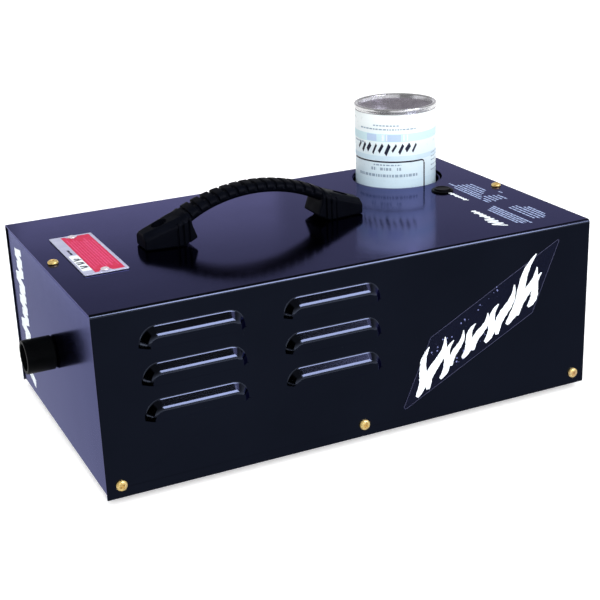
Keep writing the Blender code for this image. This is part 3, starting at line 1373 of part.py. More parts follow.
def build():
    make_chassis()
    make_cover()
    make_feet()
    make_cover_screws()
    make_handle()
    make_handle_screws()
    make_rating_plate()
    make_outlet()
    make_heater()
    make_can()
    make_can_holder()
    make_valve()
    make_pipes()
    make_button()
    make_inlet()
    make_switch()
    make_lamp_and_remote()
    make_wiring(make_board())


build()
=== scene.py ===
"""Looks of the canister-fed fog machine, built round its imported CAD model.

Shapes are drawn in millimetres in casing coordinates: x from the casing's left end (the nozzle
end), y from its front face, z from its underside. piece() turns them into metres in the row
frame, where each object sits at the origin, as the CAD nodes do.
"""
import functools
import json
import math
import random

import bmesh
import bpy
from mathutils import Matrix, Vector


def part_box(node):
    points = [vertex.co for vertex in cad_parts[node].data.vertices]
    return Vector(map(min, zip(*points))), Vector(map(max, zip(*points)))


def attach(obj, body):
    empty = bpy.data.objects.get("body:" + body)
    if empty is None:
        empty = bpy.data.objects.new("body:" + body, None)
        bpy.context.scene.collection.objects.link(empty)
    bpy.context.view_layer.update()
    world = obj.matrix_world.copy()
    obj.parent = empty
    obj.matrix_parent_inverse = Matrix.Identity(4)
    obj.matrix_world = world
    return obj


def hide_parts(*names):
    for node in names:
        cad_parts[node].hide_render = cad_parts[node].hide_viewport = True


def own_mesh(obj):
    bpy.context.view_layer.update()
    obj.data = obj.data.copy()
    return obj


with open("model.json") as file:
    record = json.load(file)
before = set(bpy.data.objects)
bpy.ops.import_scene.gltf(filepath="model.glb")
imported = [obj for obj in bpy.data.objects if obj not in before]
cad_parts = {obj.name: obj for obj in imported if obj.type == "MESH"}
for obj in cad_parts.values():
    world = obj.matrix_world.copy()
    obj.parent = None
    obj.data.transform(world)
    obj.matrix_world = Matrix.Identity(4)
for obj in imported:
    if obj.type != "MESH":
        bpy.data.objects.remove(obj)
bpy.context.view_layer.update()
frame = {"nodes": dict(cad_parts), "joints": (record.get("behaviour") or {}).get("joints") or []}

MM = 0.001
WELD = 0.0001                   # distance in mm at which points of one piece are the same
INK = 0.05                      # thickness of a print
GAP = 0.3                       # clearance between pieces that touch
LARGE = 96                      # sides of a large round piece
MIDDLE = 64
SMALL = 40
SCREW_SIDES = 24

# Casing
LOUVRE_OUT = 5.2
COVER_LOW, COVER_HIGH = (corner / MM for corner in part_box("cover"))
CORNER = COVER_LOW + Vector((0, LOUVRE_OUT, 0))
LENGTH = COVER_HIGH.x - COVER_LOW.x
DEPTH = COVER_HIGH.y - COVER_LOW.y - 2 * LOUVRE_OUT
HEIGHT = COVER_HIGH.z - COVER_LOW.z
MID_Y = DEPTH / 2
SHEET = 1.2
BEND = 2.5
BEND_STEPS = 8
EDGE_ROUNDING = 0.25
END_INSET = 1.0                 # the chassis's ends lie this far inside the cover's

# Louvres
LOUVRE_LEFTS = (28.6, 127.2)
LOUVRE_TOPS = (63.5, 88.5, 113.5)
LOUVRE_WIDTH = 73.6
LOUVRE_HEIGHT = 14.0
LOUVRE_CORNER = 12.5
LOUVRE_CORNER_STEPS = 14
LOUVRE_SLOPE = math.radians(45)
LOUVRE_ROOT = 2.0               # radius where the slope leaves the panel
LOUVRE_ROOT_STEPS = 5
LOUVRE_CREST = 5.5              # radius where it turns down into the face
LOUVRE_CREST_STEPS = 10

# Chassis
CHASSIS_FLANGE = 16.0
FLANGE_INSET = 5.0
TAB_LENGTH = 13.0
VENT_SLOTS = 6
VENT_FIRST_X = 84.0
VENT_PITCH = 18.0
VENT_HALF = (1.7, 24.0)
VENT_CORNER = 1.65
INLET_LIP = 1.7                 # the housing covers the panel round its hole by this much
SWITCH_LIP = 1.4
PANEL_HOLE_CORNER = 1.0

# Holes, by radius
SCREW_HOLE = 2.3
RIVET_HOLE = 1.9
CAN_HOLE = 36.7
CAN_HOLE_SHIFT = 1.1            # its middle is this far right of the can's
BUTTON_HOLE = 8.1
SPIGOT_HOLE = 8.6
FOOT_HOLE = 3.6
LAMP_HOLE = 4.6
REMOTE_HOLE = 10.1

# Feet
FEET = ("foot_front_left", "foot_back_left", "foot_front_right", "foot_back_right")
FOOT_STEM = ((0, 0), (2.8, 0), (4.4, -2.5), (3.0, -2.6))        # radius, and height from its top
FOOT_NECK = 3.0
FOOT_TAPER = 1.0
FOOT_HOLLOW = ((6.0, 0), (5.2, 1.6), (0, 1.6))                  # radius, and height from its sole
FOOT_ROUNDINGS = (0, 0.6, 1.0, 0.4, 0.4, 0)

# Screws: radius and height of the head, then radius and length of the shank
COVER_SCREW = (3.75, 2.1, 1.9, 8.0)
HANDLE_SCREW = (4.6, 2.6, 2.5, 14.0)
SCREW_TURN = (0, 1.5)           # how far each is turned about its axis, in radians
SCREW_ROUNDING = 0.08
HEAD_STEPS = 8
HEAD_FLAT = 0.45                # share of the head's radius that is flat
HEAD_SKIRT = 0.25               # share of its height that is upright
HEAD_CHAMFER = (0.15, 0.1)
THREAD_PITCH = 0.7
THREAD_DEPTH = 0.35
POINT_TAPER = 0.6
CROSS_REACH = 0.6               # the driver's cross, as shares of the head's radius and height
CROSS_WIDTH = 0.2
CROSS_DEPTH = 0.9
CROSS_TAPER = 0.62

# Handle, from its middle and from the casing's top
HANDLE_TOP_RADIUS = 118.0
HANDLE_UNDER_RADIUS = 106.0
HANDLE_RISE = 36.0
HANDLE_GRIP = 9.0
HANDLE_GRIP_WIDTH = 21.0
HANDLE_ARC_REACH = 64.0
HANDLE_SWELL_REACH = 52.0
HANDLE_SWELL_POWER = 4
HANDLE_REACH = 85.0
HANDLE_WIDTH = 26.0
HANDLE_TIP_WIDTH = 20.0
HANDLE_TIP_TAPER = 22.0
HANDLE_TIP_HEIGHT = 11.0
HANDLE_RIBS = 15
HANDLE_RIB_PITCH = 7.3
HANDLE_GROOVE_DEPTH = 2.5
HANDLE_GROOVE_HALF = 1.4
HANDLE_GROOVE_POWER = 6         # higher is squarer
HANDLE_PILLOW = 0.2             # a rib's edges lie this far below its middle
HANDLE_STEP = 0.6               # the smooth underside lies this far inside the ribs
RIB_FADE = (0.12, 0.16)         # how low on the section the ribs end, and how fast
GRIP_SIDES = 44
GRIP_POWERS = (0.72, 0.8)       # squareness of the section across and upwards; 1 is an ellipse
GROOVE_STATIONS = (-1.0, -0.92, -0.7, 0.0, 0.7, 0.92, 1.0)      # shares of half a groove
RIB_STATIONS = (0.25, 0.38, 0.5)                                # shares of a rib's pitch
LAST_STATIONS = (3.0, 5.0)      # past the last groove on the left and on the right
BLOCK_HEEL = (47.0, 4.7)
BLOCK_WALL = (50.5, 17.0)
BLOCK_INNER = 51.0
BLOCK_SOLE = 56.0
BLOCK_STEP = 1.6                # its top starts this far under the ribs' arc
BLOCK_ROUNDING = 1.3
SHOULDER_FOOT = 8.0
SHOULDER_WIDTH = 5.0
SHOULDER_DROP = 3.4
SIDE_GROOVES = 3
SIDE_GROOVE_FIRST = 53.4
SIDE_GROOVE_PITCH = 4.15
SIDE_GROOVE_HALF = 0.8
SIDE_GROOVE_DEPTH = 1.7
HANDLE_SCREW_REACH = 71.0
HANDLE_SCREW_HOLE = 2.8
HANDLE_RECESS = 5.6
HANDLE_RECESS_FLOOR = 5.0
CUT_LOW, CUT_HIGH = -3.0, 40.0  # well past both sides of what is cut

# Rating plate, from its left front corner
PLATE_CORNER = 1.2
PLATE_ROUNDING = 0.15
PLATE_STRIP = 8.0               # bare metal along the left edge
PLATE_BORDER = 2.4
RIVET_RELIEF = (4.6, 3.45)
PLATE_LINES = (0.75, 0.75, 0.75, 0.75, 0.75, 1.1, 1.1, 0.75, 0.75)      # height of each line of print
PLATE_LINE_FIRST = 2.2
PLATE_LINE_PITCH = 2.05
PLATE_LINE_STARTS = (7, 14)
PLATE_LINE_ENDS = (7, 16)
PLATE_BLOCK = ((4.6, 26.0), (3.2, 17.5), 0.6)           # middle, half its size, corners
PLATE_MARKS = (2.6, 2.1, 2.7, 2.3, 2.6, 1.6)
PLATE_MARK_FIRST = 14.5
PLATE_MARK_PITCH = 4.3
PLATE_MARK_SLANT = 1.4
PLATE_MARK_WIDTH = 1.9
PLATE_CODE = (46.0, 11.0, 1.6)                          # start, length and height of a line
RIVET_HEAD = 1.2
RIVET_EDGE = 0.1
RIVET_SHANK = 1.3
RIVET_STEPS = 8

# Nozzle
NOZZLE_SPIGOT = 8.0
NOZZLE_CHAMFER = 1.0
NOZZLE_MOUTH = 9.6
NOZZLE_MOUTH_DEPTH = 14.0
NOZZLE_FUNNEL = 2.0
NOZZLE_BORE = 5.0
NOZZLE_ROUNDINGS = (0, 0, 0.2, 0.4, 0.7, 0.5, 1.2, 0.8, 0)

# Fluid can: (radius, height) points, or (radius, distance below its top)
CAN_RADIUS = 32.5
CAN_DEGREE = 180 / (math.pi * CAN_RADIUS)       # degrees round the can in a millimetre
CAN_FACING = 240.4              # angle in degrees from +x of the side that the print is centred on
LABEL_DROP = 4.4                # the print starts this far below the can's top
DOME_REACH, DOME_DEPTH, DOME_EDGE = 29.4, 9.0, 3.4
DOME_STEPS = 20
CURL_INNER = ((DOME_REACH + 0.5, 0.6), (DOME_REACH + 1.6, 0))
CURL_FLAT = 0.2
CURL_HEIGHT = 2.6
CURL_FOOT = ((CAN_RADIUS - 0.5, 3.0), (CAN_RADIUS - 0.5, LABEL_DROP - 0.4), (CAN_RADIUS, LABEL_DROP))
CURL_ROUNDINGS = (0, 0.6, 0.6, 0.9, 0.8, 0.3, 0.2, 0)
CAN_SHOULDER = ((CAN_RADIUS, 42.0), (CAN_RADIUS, 38.0), (13.5, 25.0))
CAN_SHOULDER_ROUNDINGS = (0, 5.0, 0)
CAN_INSIDE = ((12.5, 25.0), (12.5, 26.0), (31.5, 40.0))
CAN_CEILING = ((31.5, 7.0), (24.0, 9.0), (0, 11.5))
CAN_FADE = (5.0, 55.0)          # the coat's tint fades between these heights over the casing
CAN_TONES = ((0.62, 0.78, 0.88), (0.76, 0.88, 0.93), (0.89, 0.96, 0.96))

# Print on the can: distances are below the label's top, angles in degrees right of its middle
CAN_BANDS = {
    "cyan": ((15.0, 21.3, -170, 180),),
    "blue": ((15.4, 20.9, -43, -27), (15.4, 20.9, -14, 8)),
    "lilac": ((32.6, 36.4, -170, 180), (52.0, 57.5, -170, 180)),
}
CAN_WHITE = (15.6, 20.6)
CAN_WHITE_MARKS = ((-19, -16), (-13, -11), (11, 13), (16, 18))
CAN_LINES = (                   # distance, the two ends, height
    (8.4, -32, 6, 1.0), (11.4, -56, 30, 1.0), (23.0, -75, -50, 1.0), (40.0, -32, 8, 1.1),
    (43.2, -36, -28, 2.4), (43.2, -22, -6, 2.2), (43.2, 2, 8, 2.4), (48.6, -60, 32, 2.2),
)
CAN_COLUMNS = range(60, 180, 15)
CAN_COLUMN_WIDTH = 11
CAN_COLUMN_LINES = (34.0, 37.0, 40.0, 44.0, 48.0)
CAN_COLUMN_PRINT = 0.9
CAN_DASH = (1.6, 5.0)
CAN_DASH_GAP = 1.4
CAN_MOTIF = (4.5, 6.6, 5.2, 7.4, 6.0, 7.8, 5.4, 6.8, 4.8, 6.2)          # height of each stroke
CAN_MOTIF_TOP = 23.6
CAN_MOTIF_START = -62
CAN_MOTIF_PITCH = 9.6
CAN_MOTIF_LEAN = 3.4
CAN_MOTIF_WIDTH = 2.4
CAN_RULE = (37.4, -74, 39)      # distance and the two ends of the ruled line
CAN_RULE_WIDTH = 1.2
CAN_RULE_CORNER = (5.0, 2.8)    # in degrees and in millimetres
CAN_RULE_STEPS = 6
CAN_RULE_SIDE = (44.0, 1.1, -30, 2.6)   # its angle and half width, its foot over the casing, its top

# Prints on the casing: x of each line, then y of its two ends
PRINT_LINES = (
    (334.5, 122, 84), (337.5, 135, 88), (340.5, 127, 93), (344.0, 126, 96),
    (347.0, 125, 99), (350.5, 124, 102),
    (334.5, 81, 74), (337.5, 85, 75), (341.0, 90, 74), (344.3, 89, 75), (347.8, 88, 76), (351.3, 87, 74),
    (323.6, 58, 20), (326.4, 60, 17), (329.2, 62, 18), (332.0, 64, 15),
    (340.0, 55, 23), (343.4, 56, 21), (346.8, 56, 21), (350.0, 50, 24), (352.8, 49, 28),
    (357.6, 95, 90),
)
PRINT_HEIGHT = 1.5
DASH = (1.2, 3.6)               # length of a dash of unreadable print, as shares of its height
DASH_GAP = 0.55

# Bold marks: the start, the way along, the lean, and each stroke's length, height and width
TOP_MARK = ((314.5, 60.5), (0, -1), (-1, 0.12), (
    (5.0, 3.6, 2.4), (4.4, 4.4, 2.8), (4.0, 3.2, 2.2), (5.2, 5.0, 3.0),
    (5.0, 4.2, 2.6), (5.6, 7.0, 3.0), (6.4, 8.0, 3.2), (6.0, 8.6, 3.0),
))
BUTTON_MARK = ((325.0, 111.0), (0, -1), (-1, 0.1), (
    (3.6, 2.4, 2.0), (3.2, 3.0, 2.2), (3.4, 2.2, 1.9), (3.8, 3.2, 2.2),
    (3.4, 2.6, 2.0), (3.6, 2.2, 1.9), (3.2, 2.8, 2.0),
))
END_MARK = ((178.5, 11.0), (0, 1), (1, 0.3), (
    (12.0, 22.0, 7.6), (8.0, 17.0, 6.2), (10.0, 21.0, 7.2), (7.0, 16.0, 6.0),
    (13.0, 23.0, 8.0), (8.0, 16.5, 6.2), (9.0, 20.0, 7.0), (8.0, 17.0, 6.2),
    (12.0, 22.5, 7.6), (8.0, 16.5, 6.2), (9.0, 19.0, 6.8),
))
LINK_WIDTH = 0.7                # the slanting link between two strokes, as a share of the first's width

# Decal on the front
DECAL = ((215.5, 10.8), (325.0, 64.6), (347.0, 118.1), (238.2, 62.9))
DECAL_CORNERS = (1.4, 2.0, 1.0, 2.0)
DECAL_FILM = 0.12
DECAL_RULE_INSET = 1.1
DECAL_RULE_WIDTH = 0.28
WISPS = (                       # foot, tip, width and sway of each
    ((228, 20), (238, 56), 6.4, 2.0), ((237, 24), (251, 61), 6.8, -2.4), ((247, 30), (258, 57), 5.4, 2.0),
    ((256, 38), (266, 63), 4.8, -1.6), ((265, 42), (276, 66), 5.8, 2.0), ((274, 46), (286, 72), 5.8, -2.0),
    ((284, 50), (295, 77), 6.2, 2.0), ((294, 54), (308, 89), 6.8, -2.2), ((302, 60), (326, 109), 7.2, 2.4),
    ((311, 65), (327, 99), 6.6, -2.0), ((320, 70), (331, 94), 6.0, 1.8),
)
WISP_STEPS = 30
WISP_RAGGED = (0.88, 1.06)
WISP_THINNEST = 0.4
SPECKS = 60
SPECK_START = (250, 37)
SPECK_ALONG = (100.0, 74.0)
SPECK_REACH = 76
SPECK_ABOVE, SPECK_BELOW = (14, 19), (-7, 0)
SPECK_RADIUS = (0.2, 0.7)
SPECK_SIDES = 9

# Button: (radius, height) points; heights under the deck are in casing coordinates
BEZEL_MOUTH = 7.0
BEZEL_BODY = 7.8
BEZEL_INSIDE = ((1.8, 114.0), (6.8, 114.0))
BEZEL_BARB = ((7.8, 0), (8.05, -0.6), (8.05, -1.4), (7.8, -2.0), (7.6, -1.0))
BARB_DROP = 8.0
BARB_PITCH = 3.0
BEZEL_MOUTH_STEP = 0.2
CAP_DISH = ((0, 0.5), (4.6, 0.35), (5.4, 0))            # radius, and distance below the cap's top
CAP_BOTTOM = 120.0
CAP_STEM = 1.5

# Finishes. Scales of textures are in features a metre, heights of bumps in millimetres.
ENAMELS = {
    # colours, tint of the reflection, roughness
    "casing_paint": (((0.034, 0.040, 0.056), (0.040, 0.047, 0.066)), (0.67, 0.66, 1.0), (0.105, 0.135)),
    # the ends' copy of the casing's enamel, darker and bluer: painted shade, not a second paint
    "end_paint": (((0.0150, 0.0155, 0.0330), (0.0165, 0.0170, 0.0360)), (0.62, 0.64, 0.95), (0.14, 0.19)),
}
PLASTICS = {
    # colours, roughness, height of the grain, specular level
    "handle_plastic": (((0.0008, 0.0011, 0.0024), (0.0014, 0.0019, 0.0040)), (0.45, 0.6), 0.05, 0.04),
    "nozzle_plastic": (((0.0008, 0.0010, 0.0012), (0.0014, 0.0017, 0.0020)), (0.38, 0.5), 0.02, 0.06),
    "black_plastic": (((0.0015, 0.0015, 0.0022), (0.003, 0.003, 0.0045)), (0.3, 0.42), 0.02, 0.04),
    "grey_plastic": (((0.16, 0.16, 0.175), (0.23, 0.23, 0.245)), (0.45, 0.6), 0.03, 0.3),
    "rubber": (((0.016, 0.016, 0.016), (0.03, 0.03, 0.03)), (0.8, 0.95), 0.06, 0.15),
    "ceramic": (((0.68, 0.64, 0.55), (0.8, 0.77, 0.7)), (0.5, 0.7), 0.04, 0.3),
}
EVEN = (1, 1, 1)
METALS = {
    # colours, roughness, stretch of the brushing, height of the scratches, metallic
    "yellow_zinc": (
        ((0.62, 0.40, 0.13), (0.80, 0.60, 0.22), (0.70, 0.50, 0.30)), (0.22, 0.36), EVEN, 0.006, 0.55,
    ),
    "bright_steel": (((0.52, 0.53, 0.55), (0.66, 0.66, 0.68)), (0.24, 0.36), (1, 1, 6), 0.0012, 1.0),
    "rivet_metal": (((0.66, 0.62, 0.66), (0.8, 0.76, 0.8)), (0.25, 0.4), EVEN, 0.004, 0.4),
    "tinplate": (((0.60, 0.60, 0.60), (0.74, 0.74, 0.75)), (0.16, 0.26), (1, 1, 12), 0.001, 0.8),
    # the dome's copy of the tinplate, darker and lilac: painted reflection of a dim overhead, not a second
    # metal
    "lid_metal": (((0.34, 0.31, 0.36), (0.46, 0.43, 0.48)), (0.22, 0.3), EVEN, 0.0005, 0.75),
    "plate_metal": (((0.44, 0.46, 0.62), (0.54, 0.56, 0.72)), (0.34, 0.46), (0.08, 3, 1), 0.004, 0.3),
    "copper": (((0.42, 0.17, 0.09), (0.75, 0.36, 0.22)), (0.26, 0.42), EVEN, 0.004, 1.0),
    "brass": (((0.5, 0.34, 0.11), (0.68, 0.5, 0.2)), (0.24, 0.36), (1, 1, 8), 0.004, 1.0),
    "cast_aluminium": (((0.4, 0.4, 0.41), (0.56, 0.56, 0.57)), (0.45, 0.65), EVEN, 0.15, 1.0),
}
INKS = {
    # colour, and the share that it darkens by where it is thin
    "white_ink": ((0.82, 0.88, 0.92), 0.12),
    "blue_ink": ((0.34, 0.42, 0.66), 0.12),
    "faint_ink": ((0.05, 0.053, 0.105), 0.12),
    "speck_ink": ((0.14, 0.16, 0.34), 0.12),
    "plate_red": ((0.52, 0.014, 0.065), 0.12),
    "plate_rose": ((0.66, 0.07, 0.20), 0.12),
    "dark_ink": ((0.012, 0.014, 0.035), 0.12),
    "can_cyan": ((0.62, 0.83, 0.88), 0.05),
    "can_blue": ((0.50, 0.64, 0.84), 0.05),
    "can_lilac": ((0.62, 0.78, 0.88), 0.05),
    "can_grey": ((0.30, 0.40, 0.50), 0.2),
}
WOOL_TONES = ((0.55, 0.49, 0.36), (0.78, 0.73, 0.61), (0.86, 0.83, 0.74))
VARIED = (0.3, 0.7)             # the part of a texture's range that most of it lies in

# Nodes that keep the CAD's shape, by finish
INNER_PARTS = {
    "bright_steel": (
        "nozzle_lock_ring", "heater_cartridge", "heater_bracket_left", "heater_bracket_right",
        "inlet_pin_line", "inlet_pin_neutral", "inlet_pin_earth", "remote_socket", "valve_spring",
        "fog_button_spring",
    ),
    "copper": ("outlet_pipe", "feed_pipe", "inlet_pipe"),
    "cast_aluminium": ("heater_block",),
    "glass_wool": ("heater_jacket",),
    "ceramic": ("thermostat", "thermal_cutout", "terminal_block"),
    "black_plastic": ("valve_coil", "inlet_housing", "power_switch_body"),
    "brass": ("valve_body", "canister_seat"),
    "rubber": ("canister_seal",),
    "casing_paint": ("canister_tube",),
    "grey_plastic": ("fog_button_contact", "mains_lead", "heater_lead"),
    "lamp_lens": ("ready_lamp",),
    "board_laminate": ("control_board",),
}
MOVING_PARTS = (
    # node, finish, body, rounding of its edges
    ("canister_valve", "bright_steel", "canister", 0.25), ("valve_plunger", "bright_steel", "plunger", 0.25),
    ("fuse_drawer", "black_plastic", "fuse_drawer", 0.25), ("fuse", "ceramic", "fuse_drawer", 0.25),
    ("power_switch_rocker", "black_plastic", "rocker", 0.5),
)

# Studio, in metres
LIGHT_TARGET = Vector((0, 0, 0.1))
SOFTBOXES = (
    # name, azimuth and elevation, distance, size, radiance, colour; only reflections see them
    ("edge_softbox", (151, 36), 2.0, (1.1, 0.96), 11.0, (0.84, 0.85, 1.0)),
    ("upper_softbox", (137, 45), 2.0, (1.5, 0.5), 1.5, (0.66, 0.6, 1.0)),
    ("back_left_glow", (16, 16), 3.0, (0.8, 0.22), 0.4, (0.95, 0.92, 1.0)),
)
FILLS = (
    # name, place, size, radiance; reflections don't see them
    ("overhead_fill", (0.1, -0.2, 2.6), (3.4, 3.4), 2.2),
    ("front_fill", (-0.8, -2.4, 1.5), (2.4, 1.6), 6.2),
)
FLAGS = (
    # name, two opposite corners, glow
    ("front_flag", (-0.2, -1.8, 0), (2.0, -0.1, 0), (0.185, 0.20, 0.26)),
    ("left_flag", (-0.52, -0.4, 0), (-0.2, -0.1, 0), (0.0, 0.0, 0.0)),
    ("far_left_flag", (-0.52, -0.1, 0), (-0.3, 0.02, 0), (0.0, 0.0, 0.0)),
    ("outer_left_flag", (-1.6, -1.8, 0), (-0.2, -0.4, 0), (0.3, 0.3, 0.34)),
    ("near_left_flag", (-0.27, -0.1, 0), (-0.17, 1.2, 0), (0.8, 0.8, 0.82)),
    ("left_wall", (-1.6, -1.8, 0), (-1.6, 0.06, 3.0), (0.0, 0.0, 0.0)),
)
FLAG_LIFT = Vector((0, 0, 0.0008))
WORLD_TONES = (                 # sine of the elevation, brightness
    (0.0, 1.0), (0.24, 0.50), (0.30, 0.42), (0.345, 0.35), (0.42, 0.25), (0.6, 0.13), (1.0, 0.08),
)
WORLD_BLUE = 1.06
FLOOR_REACH = 40.0
FLOOR_FADE = (1.0, 3.5)         # distances from the machine over which the floor's own glow rises
FLOOR_GLOW = (0.42, 1.0)
CAMERA_PLACE = Vector((-0.1834, -0.7007, 0.4024))       # from the casing's corner
CAMERA_BACK = Vector((-0.3923, -0.8490, 0.3541))        # away from what it looks at
CAMERA_ROLL = math.radians(-2.1644)
CAMERA_LENS = 76.09
CAMERA_SENSOR = 36.0
CAMERA_CLIP = 0.05

TURNS = {
    "X": Matrix.Rotation(math.pi / 2, 3, "Y"),
    "Y": Matrix.Rotation(-math.pi / 2, 3, "X"),
    "Z": Matrix.Identity(3),
}


@functools.cache
def casing_box(*nodes):
    """Lowest and highest corner of some CAD nodes together, in casing coordinates."""
    corners = [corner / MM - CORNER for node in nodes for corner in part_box(node)]
    low = Vector(min(corner[axis] for corner in corners) for axis in range(3))
    high = Vector(max(corner[axis] for corner in corners) for axis in range(3))
    return low, high


def casing_middle(*nodes):
    low, high = casing_box(*nodes)
    return (low + high) / 2


# --- Node materials ----------------------------------------------------------------------

def new_material(name, colour, roughness, metallic=0.0, settings=()):
    """A Principled material; settings are pairs of a socket's name and its value."""
    made = bpy.data.materials.new(name)
    made.use_nodes = True
    shader = made.node_tree.nodes["Principled BSDF"]
    shader.inputs["Base Color"].default_value = (*colour, 1.0)
    shader.inputs["Roughness"].default_value = roughness
    shader.inputs["Metallic"].default_value = metallic
    for socket, value in settings:
        shader.inputs[socket].default_value = value
    return made


def shader_of(finish):
    return finish.node_tree.nodes["Principled BSDF"]


def place_texture(finish, kind, scale, stretch=(1, 1, 1), turn=(0, 0, 0)):
    """A texture node laid out in the piece's own metres."""
    nodes, links = finish.node_tree.nodes, finish.node_tree.links
    mapping = nodes.new("ShaderNodeMapping")
    mapping.inputs["Scale"].default_value = stretch
    mapping.inputs["Rotation"].default_value = turn
    links.new(nodes.new("ShaderNodeTexCoord").outputs["Object"], mapping.inputs["Vector"])
    texture = nodes.new(kind)
    texture.inputs["Scale"].default_value = scale
    links.new(mapping.outputs["Vector"], texture.inputs["Vector"])
    return texture


def noise(finish, scale, detail=3.0, stretch=(1, 1, 1), turn=(0, 0, 0)):
    texture = place_texture(finish, "ShaderNodeTexNoise", scale, stretch, turn)
    texture.inputs["Detail"].default_value = detail
    return texture.outputs["Fac"]


def cells(finish, scale, stretch=(1, 1, 1)):
    """Distance from the middle of the nearest cell, for grains and spangles."""
    return place_texture(finish, "ShaderNodeTexVoronoi", scale, stretch).outputs["Distance"]


def vary_colour(finish, factor, colours, low=VARIED[0], high=VARIED[1]):
    """Colour that follows a factor from the first colour at low to the last at high."""
    nodes, links = finish.node_tree.nodes, finish.node_tree.links
    ramp = nodes.new("ShaderNodeValToRGB")
    points = ramp.color_ramp.elements
    points[0].position, points[1].position = low, high
    while len(points) < len(colours):
        points.new(low + (high - low) * (len(points) - 1) / (len(colours) - 1))
    for point, colour in zip(sorted(points, key=lambda item: item.position), colours):
        point.color = (*colour, 1.0)
    links.new(factor, ramp.inputs["Fac"])
    links.new(ramp.outputs["Color"], shader_of(finish).inputs["Base Color"])


def vary_roughness(finish, factor, low, high):
    nodes, links = finish.node_tree.nodes, finish.node_tree.links
    spread = nodes.new("ShaderNodeMapRange")
    spread.inputs["From Min"].default_value, spread.inputs["From Max"].default_value = VARIED
    spread.inputs["To Min"].default_value = low
    spread.inputs["To Max"].default_value = high
    links.new(factor, spread.inputs["Value"])
    links.new(spread.outputs["Result"], shader_of(finish).inputs["Roughness"])


def add_bump(finish, height, distance, strength=1.0):
    """Relief of that height in mm; a second call adds to the first."""
    nodes, links = finish.node_tree.nodes, finish.node_tree.links
    bump = nodes.new("ShaderNodeBump")
    bump.inputs["Distance"].default_value = distance * MM
    bump.inputs["Strength"].default_value = strength
    links.new(height, bump.inputs["Height"])
    normal = shader_of(finish).inputs["Normal"]
    if normal.is_linked:
        links.new(normal.links[0].from_socket, bump.inputs["Normal"])
    links.new(bump.outputs["Normal"], normal)


def enamel(name, colours, tint, rough):
    """Dark stoved enamel with a violet cast and a fine orange peel."""
    finish = new_material(name, colours[0], rough[0], 1.0, (("Specular Tint", (*tint, 1.0)),))
    vary_colour(finish, noise(finish, 14.0, 4.0), colours)
    vary_roughness(finish, noise(finish, 38.0, 5.0), *rough)
    add_bump(finish, noise(finish, 420.0, 2.0), 0.012)
    add_bump(finish, noise(finish, 2600.0, 1.0), 0.003)
    return finish


def moulded_plastic(name, colours, rough, grain, specular):
    """Moulded plastic or rubber: fine spark-eroded grain and slight wear."""
    finish = new_material(name, colours[0], rough[0], 0.0, (("Specular IOR Level", specular),))
    vary_colour(finish, noise(finish, 60.0, 5.0), colours)
    vary_roughness(finish, noise(finish, 150.0, 4.0), *rough)
    add_bump(finish, noise(finish, 1800.0, 3.0), grain)
    add_bump(finish, cells(finish, 2400.0), grain / 2)
    return finish


def plated_metal(name, colours, rough, brushed, scratch, metallic):
    """Bright or passivated metal, brushed across the axis with the largest stretch."""
    finish = new_material(name, colours[0], rough[0], metallic)
    vary_colour(finish, noise(finish, 90.0, 4.0), colours)
    vary_roughness(finish, noise(finish, 260.0, 4.0, brushed), *rough)
    add_bump(finish, noise(finish, 900.0, 2.0, brushed), scratch)
    return finish


def ink(name, colour, wear):
    """Screen print: one colour, a little thin in places."""
    finish = new_material(name, colour, 0.45, 0.0, (("Specular IOR Level", 0.3),))
    thin = tuple(channel * (1 - wear) for channel in colour)
    vary_colour(finish, noise(finish, 700.0, 4.0), (thin, colour), 0.25, 0.5)
    vary_roughness(finish, noise(finish, 300.0, 3.0), 0.38, 0.55)
    add_bump(finish, noise(finish, 2200.0, 2.0), 0.006)
    return finish


def glass_mat():
    """Woven glass insulation: crossing threads over a fluffy ground."""
    finish = new_material("glass_wool", (0.75, 0.7, 0.58), 0.95)
    vary_colour(finish, noise(finish, 220.0, 6.0), WOOL_TONES)
    for stretch in ((1, 0.05, 1), (0.05, 1, 1)):
        add_bump(finish, noise(finish, 1500.0, 4.0, stretch), 0.25)
    return finish


def circuit_laminate():
    """Solder resist over tracks that run square to each other."""
    finish = new_material("board_laminate", (0.03, 0.2, 0.08), 0.35, 0.0, (("Coat Weight", 0.4),))
    tracks = place_texture(finish, "ShaderNodeTexBrick", 220.0)
    tracks.inputs["Color1"].default_value = (0.02, 0.16, 0.06, 1)
    tracks.inputs["Color2"].default_value = (0.015, 0.12, 0.05, 1)
    tracks.inputs["Mortar"].default_value = (0.07, 0.32, 0.12, 1)
    tracks.inputs["Mortar Size"].default_value = 0.03
    finish.node_tree.links.new(tracks.outputs["Color"], shader_of(finish).inputs["Base Color"])
    vary_roughness(finish, noise(finish, 120.0), 0.25, 0.45)
    add_bump(finish, tracks.outputs["Fac"], 0.04)
    return finish


def lamp_lens():
    """Amber lens, clear enough to glow at its thin edges."""
    finish = new_material(
        "lamp_lens", (0.9, 0.32, 0.02), 0.12, 0.0,
        (("Transmission Weight", 0.55), ("IOR", 1.49), ("Coat Weight", 0.5)),
    )
    vary_colour(finish, noise(finish, 500.0), ((0.75, 0.22, 0.01), (0.95, 0.42, 0.03)))
    add_bump(finish, cells(finish, 900.0), 0.03)
    return finish


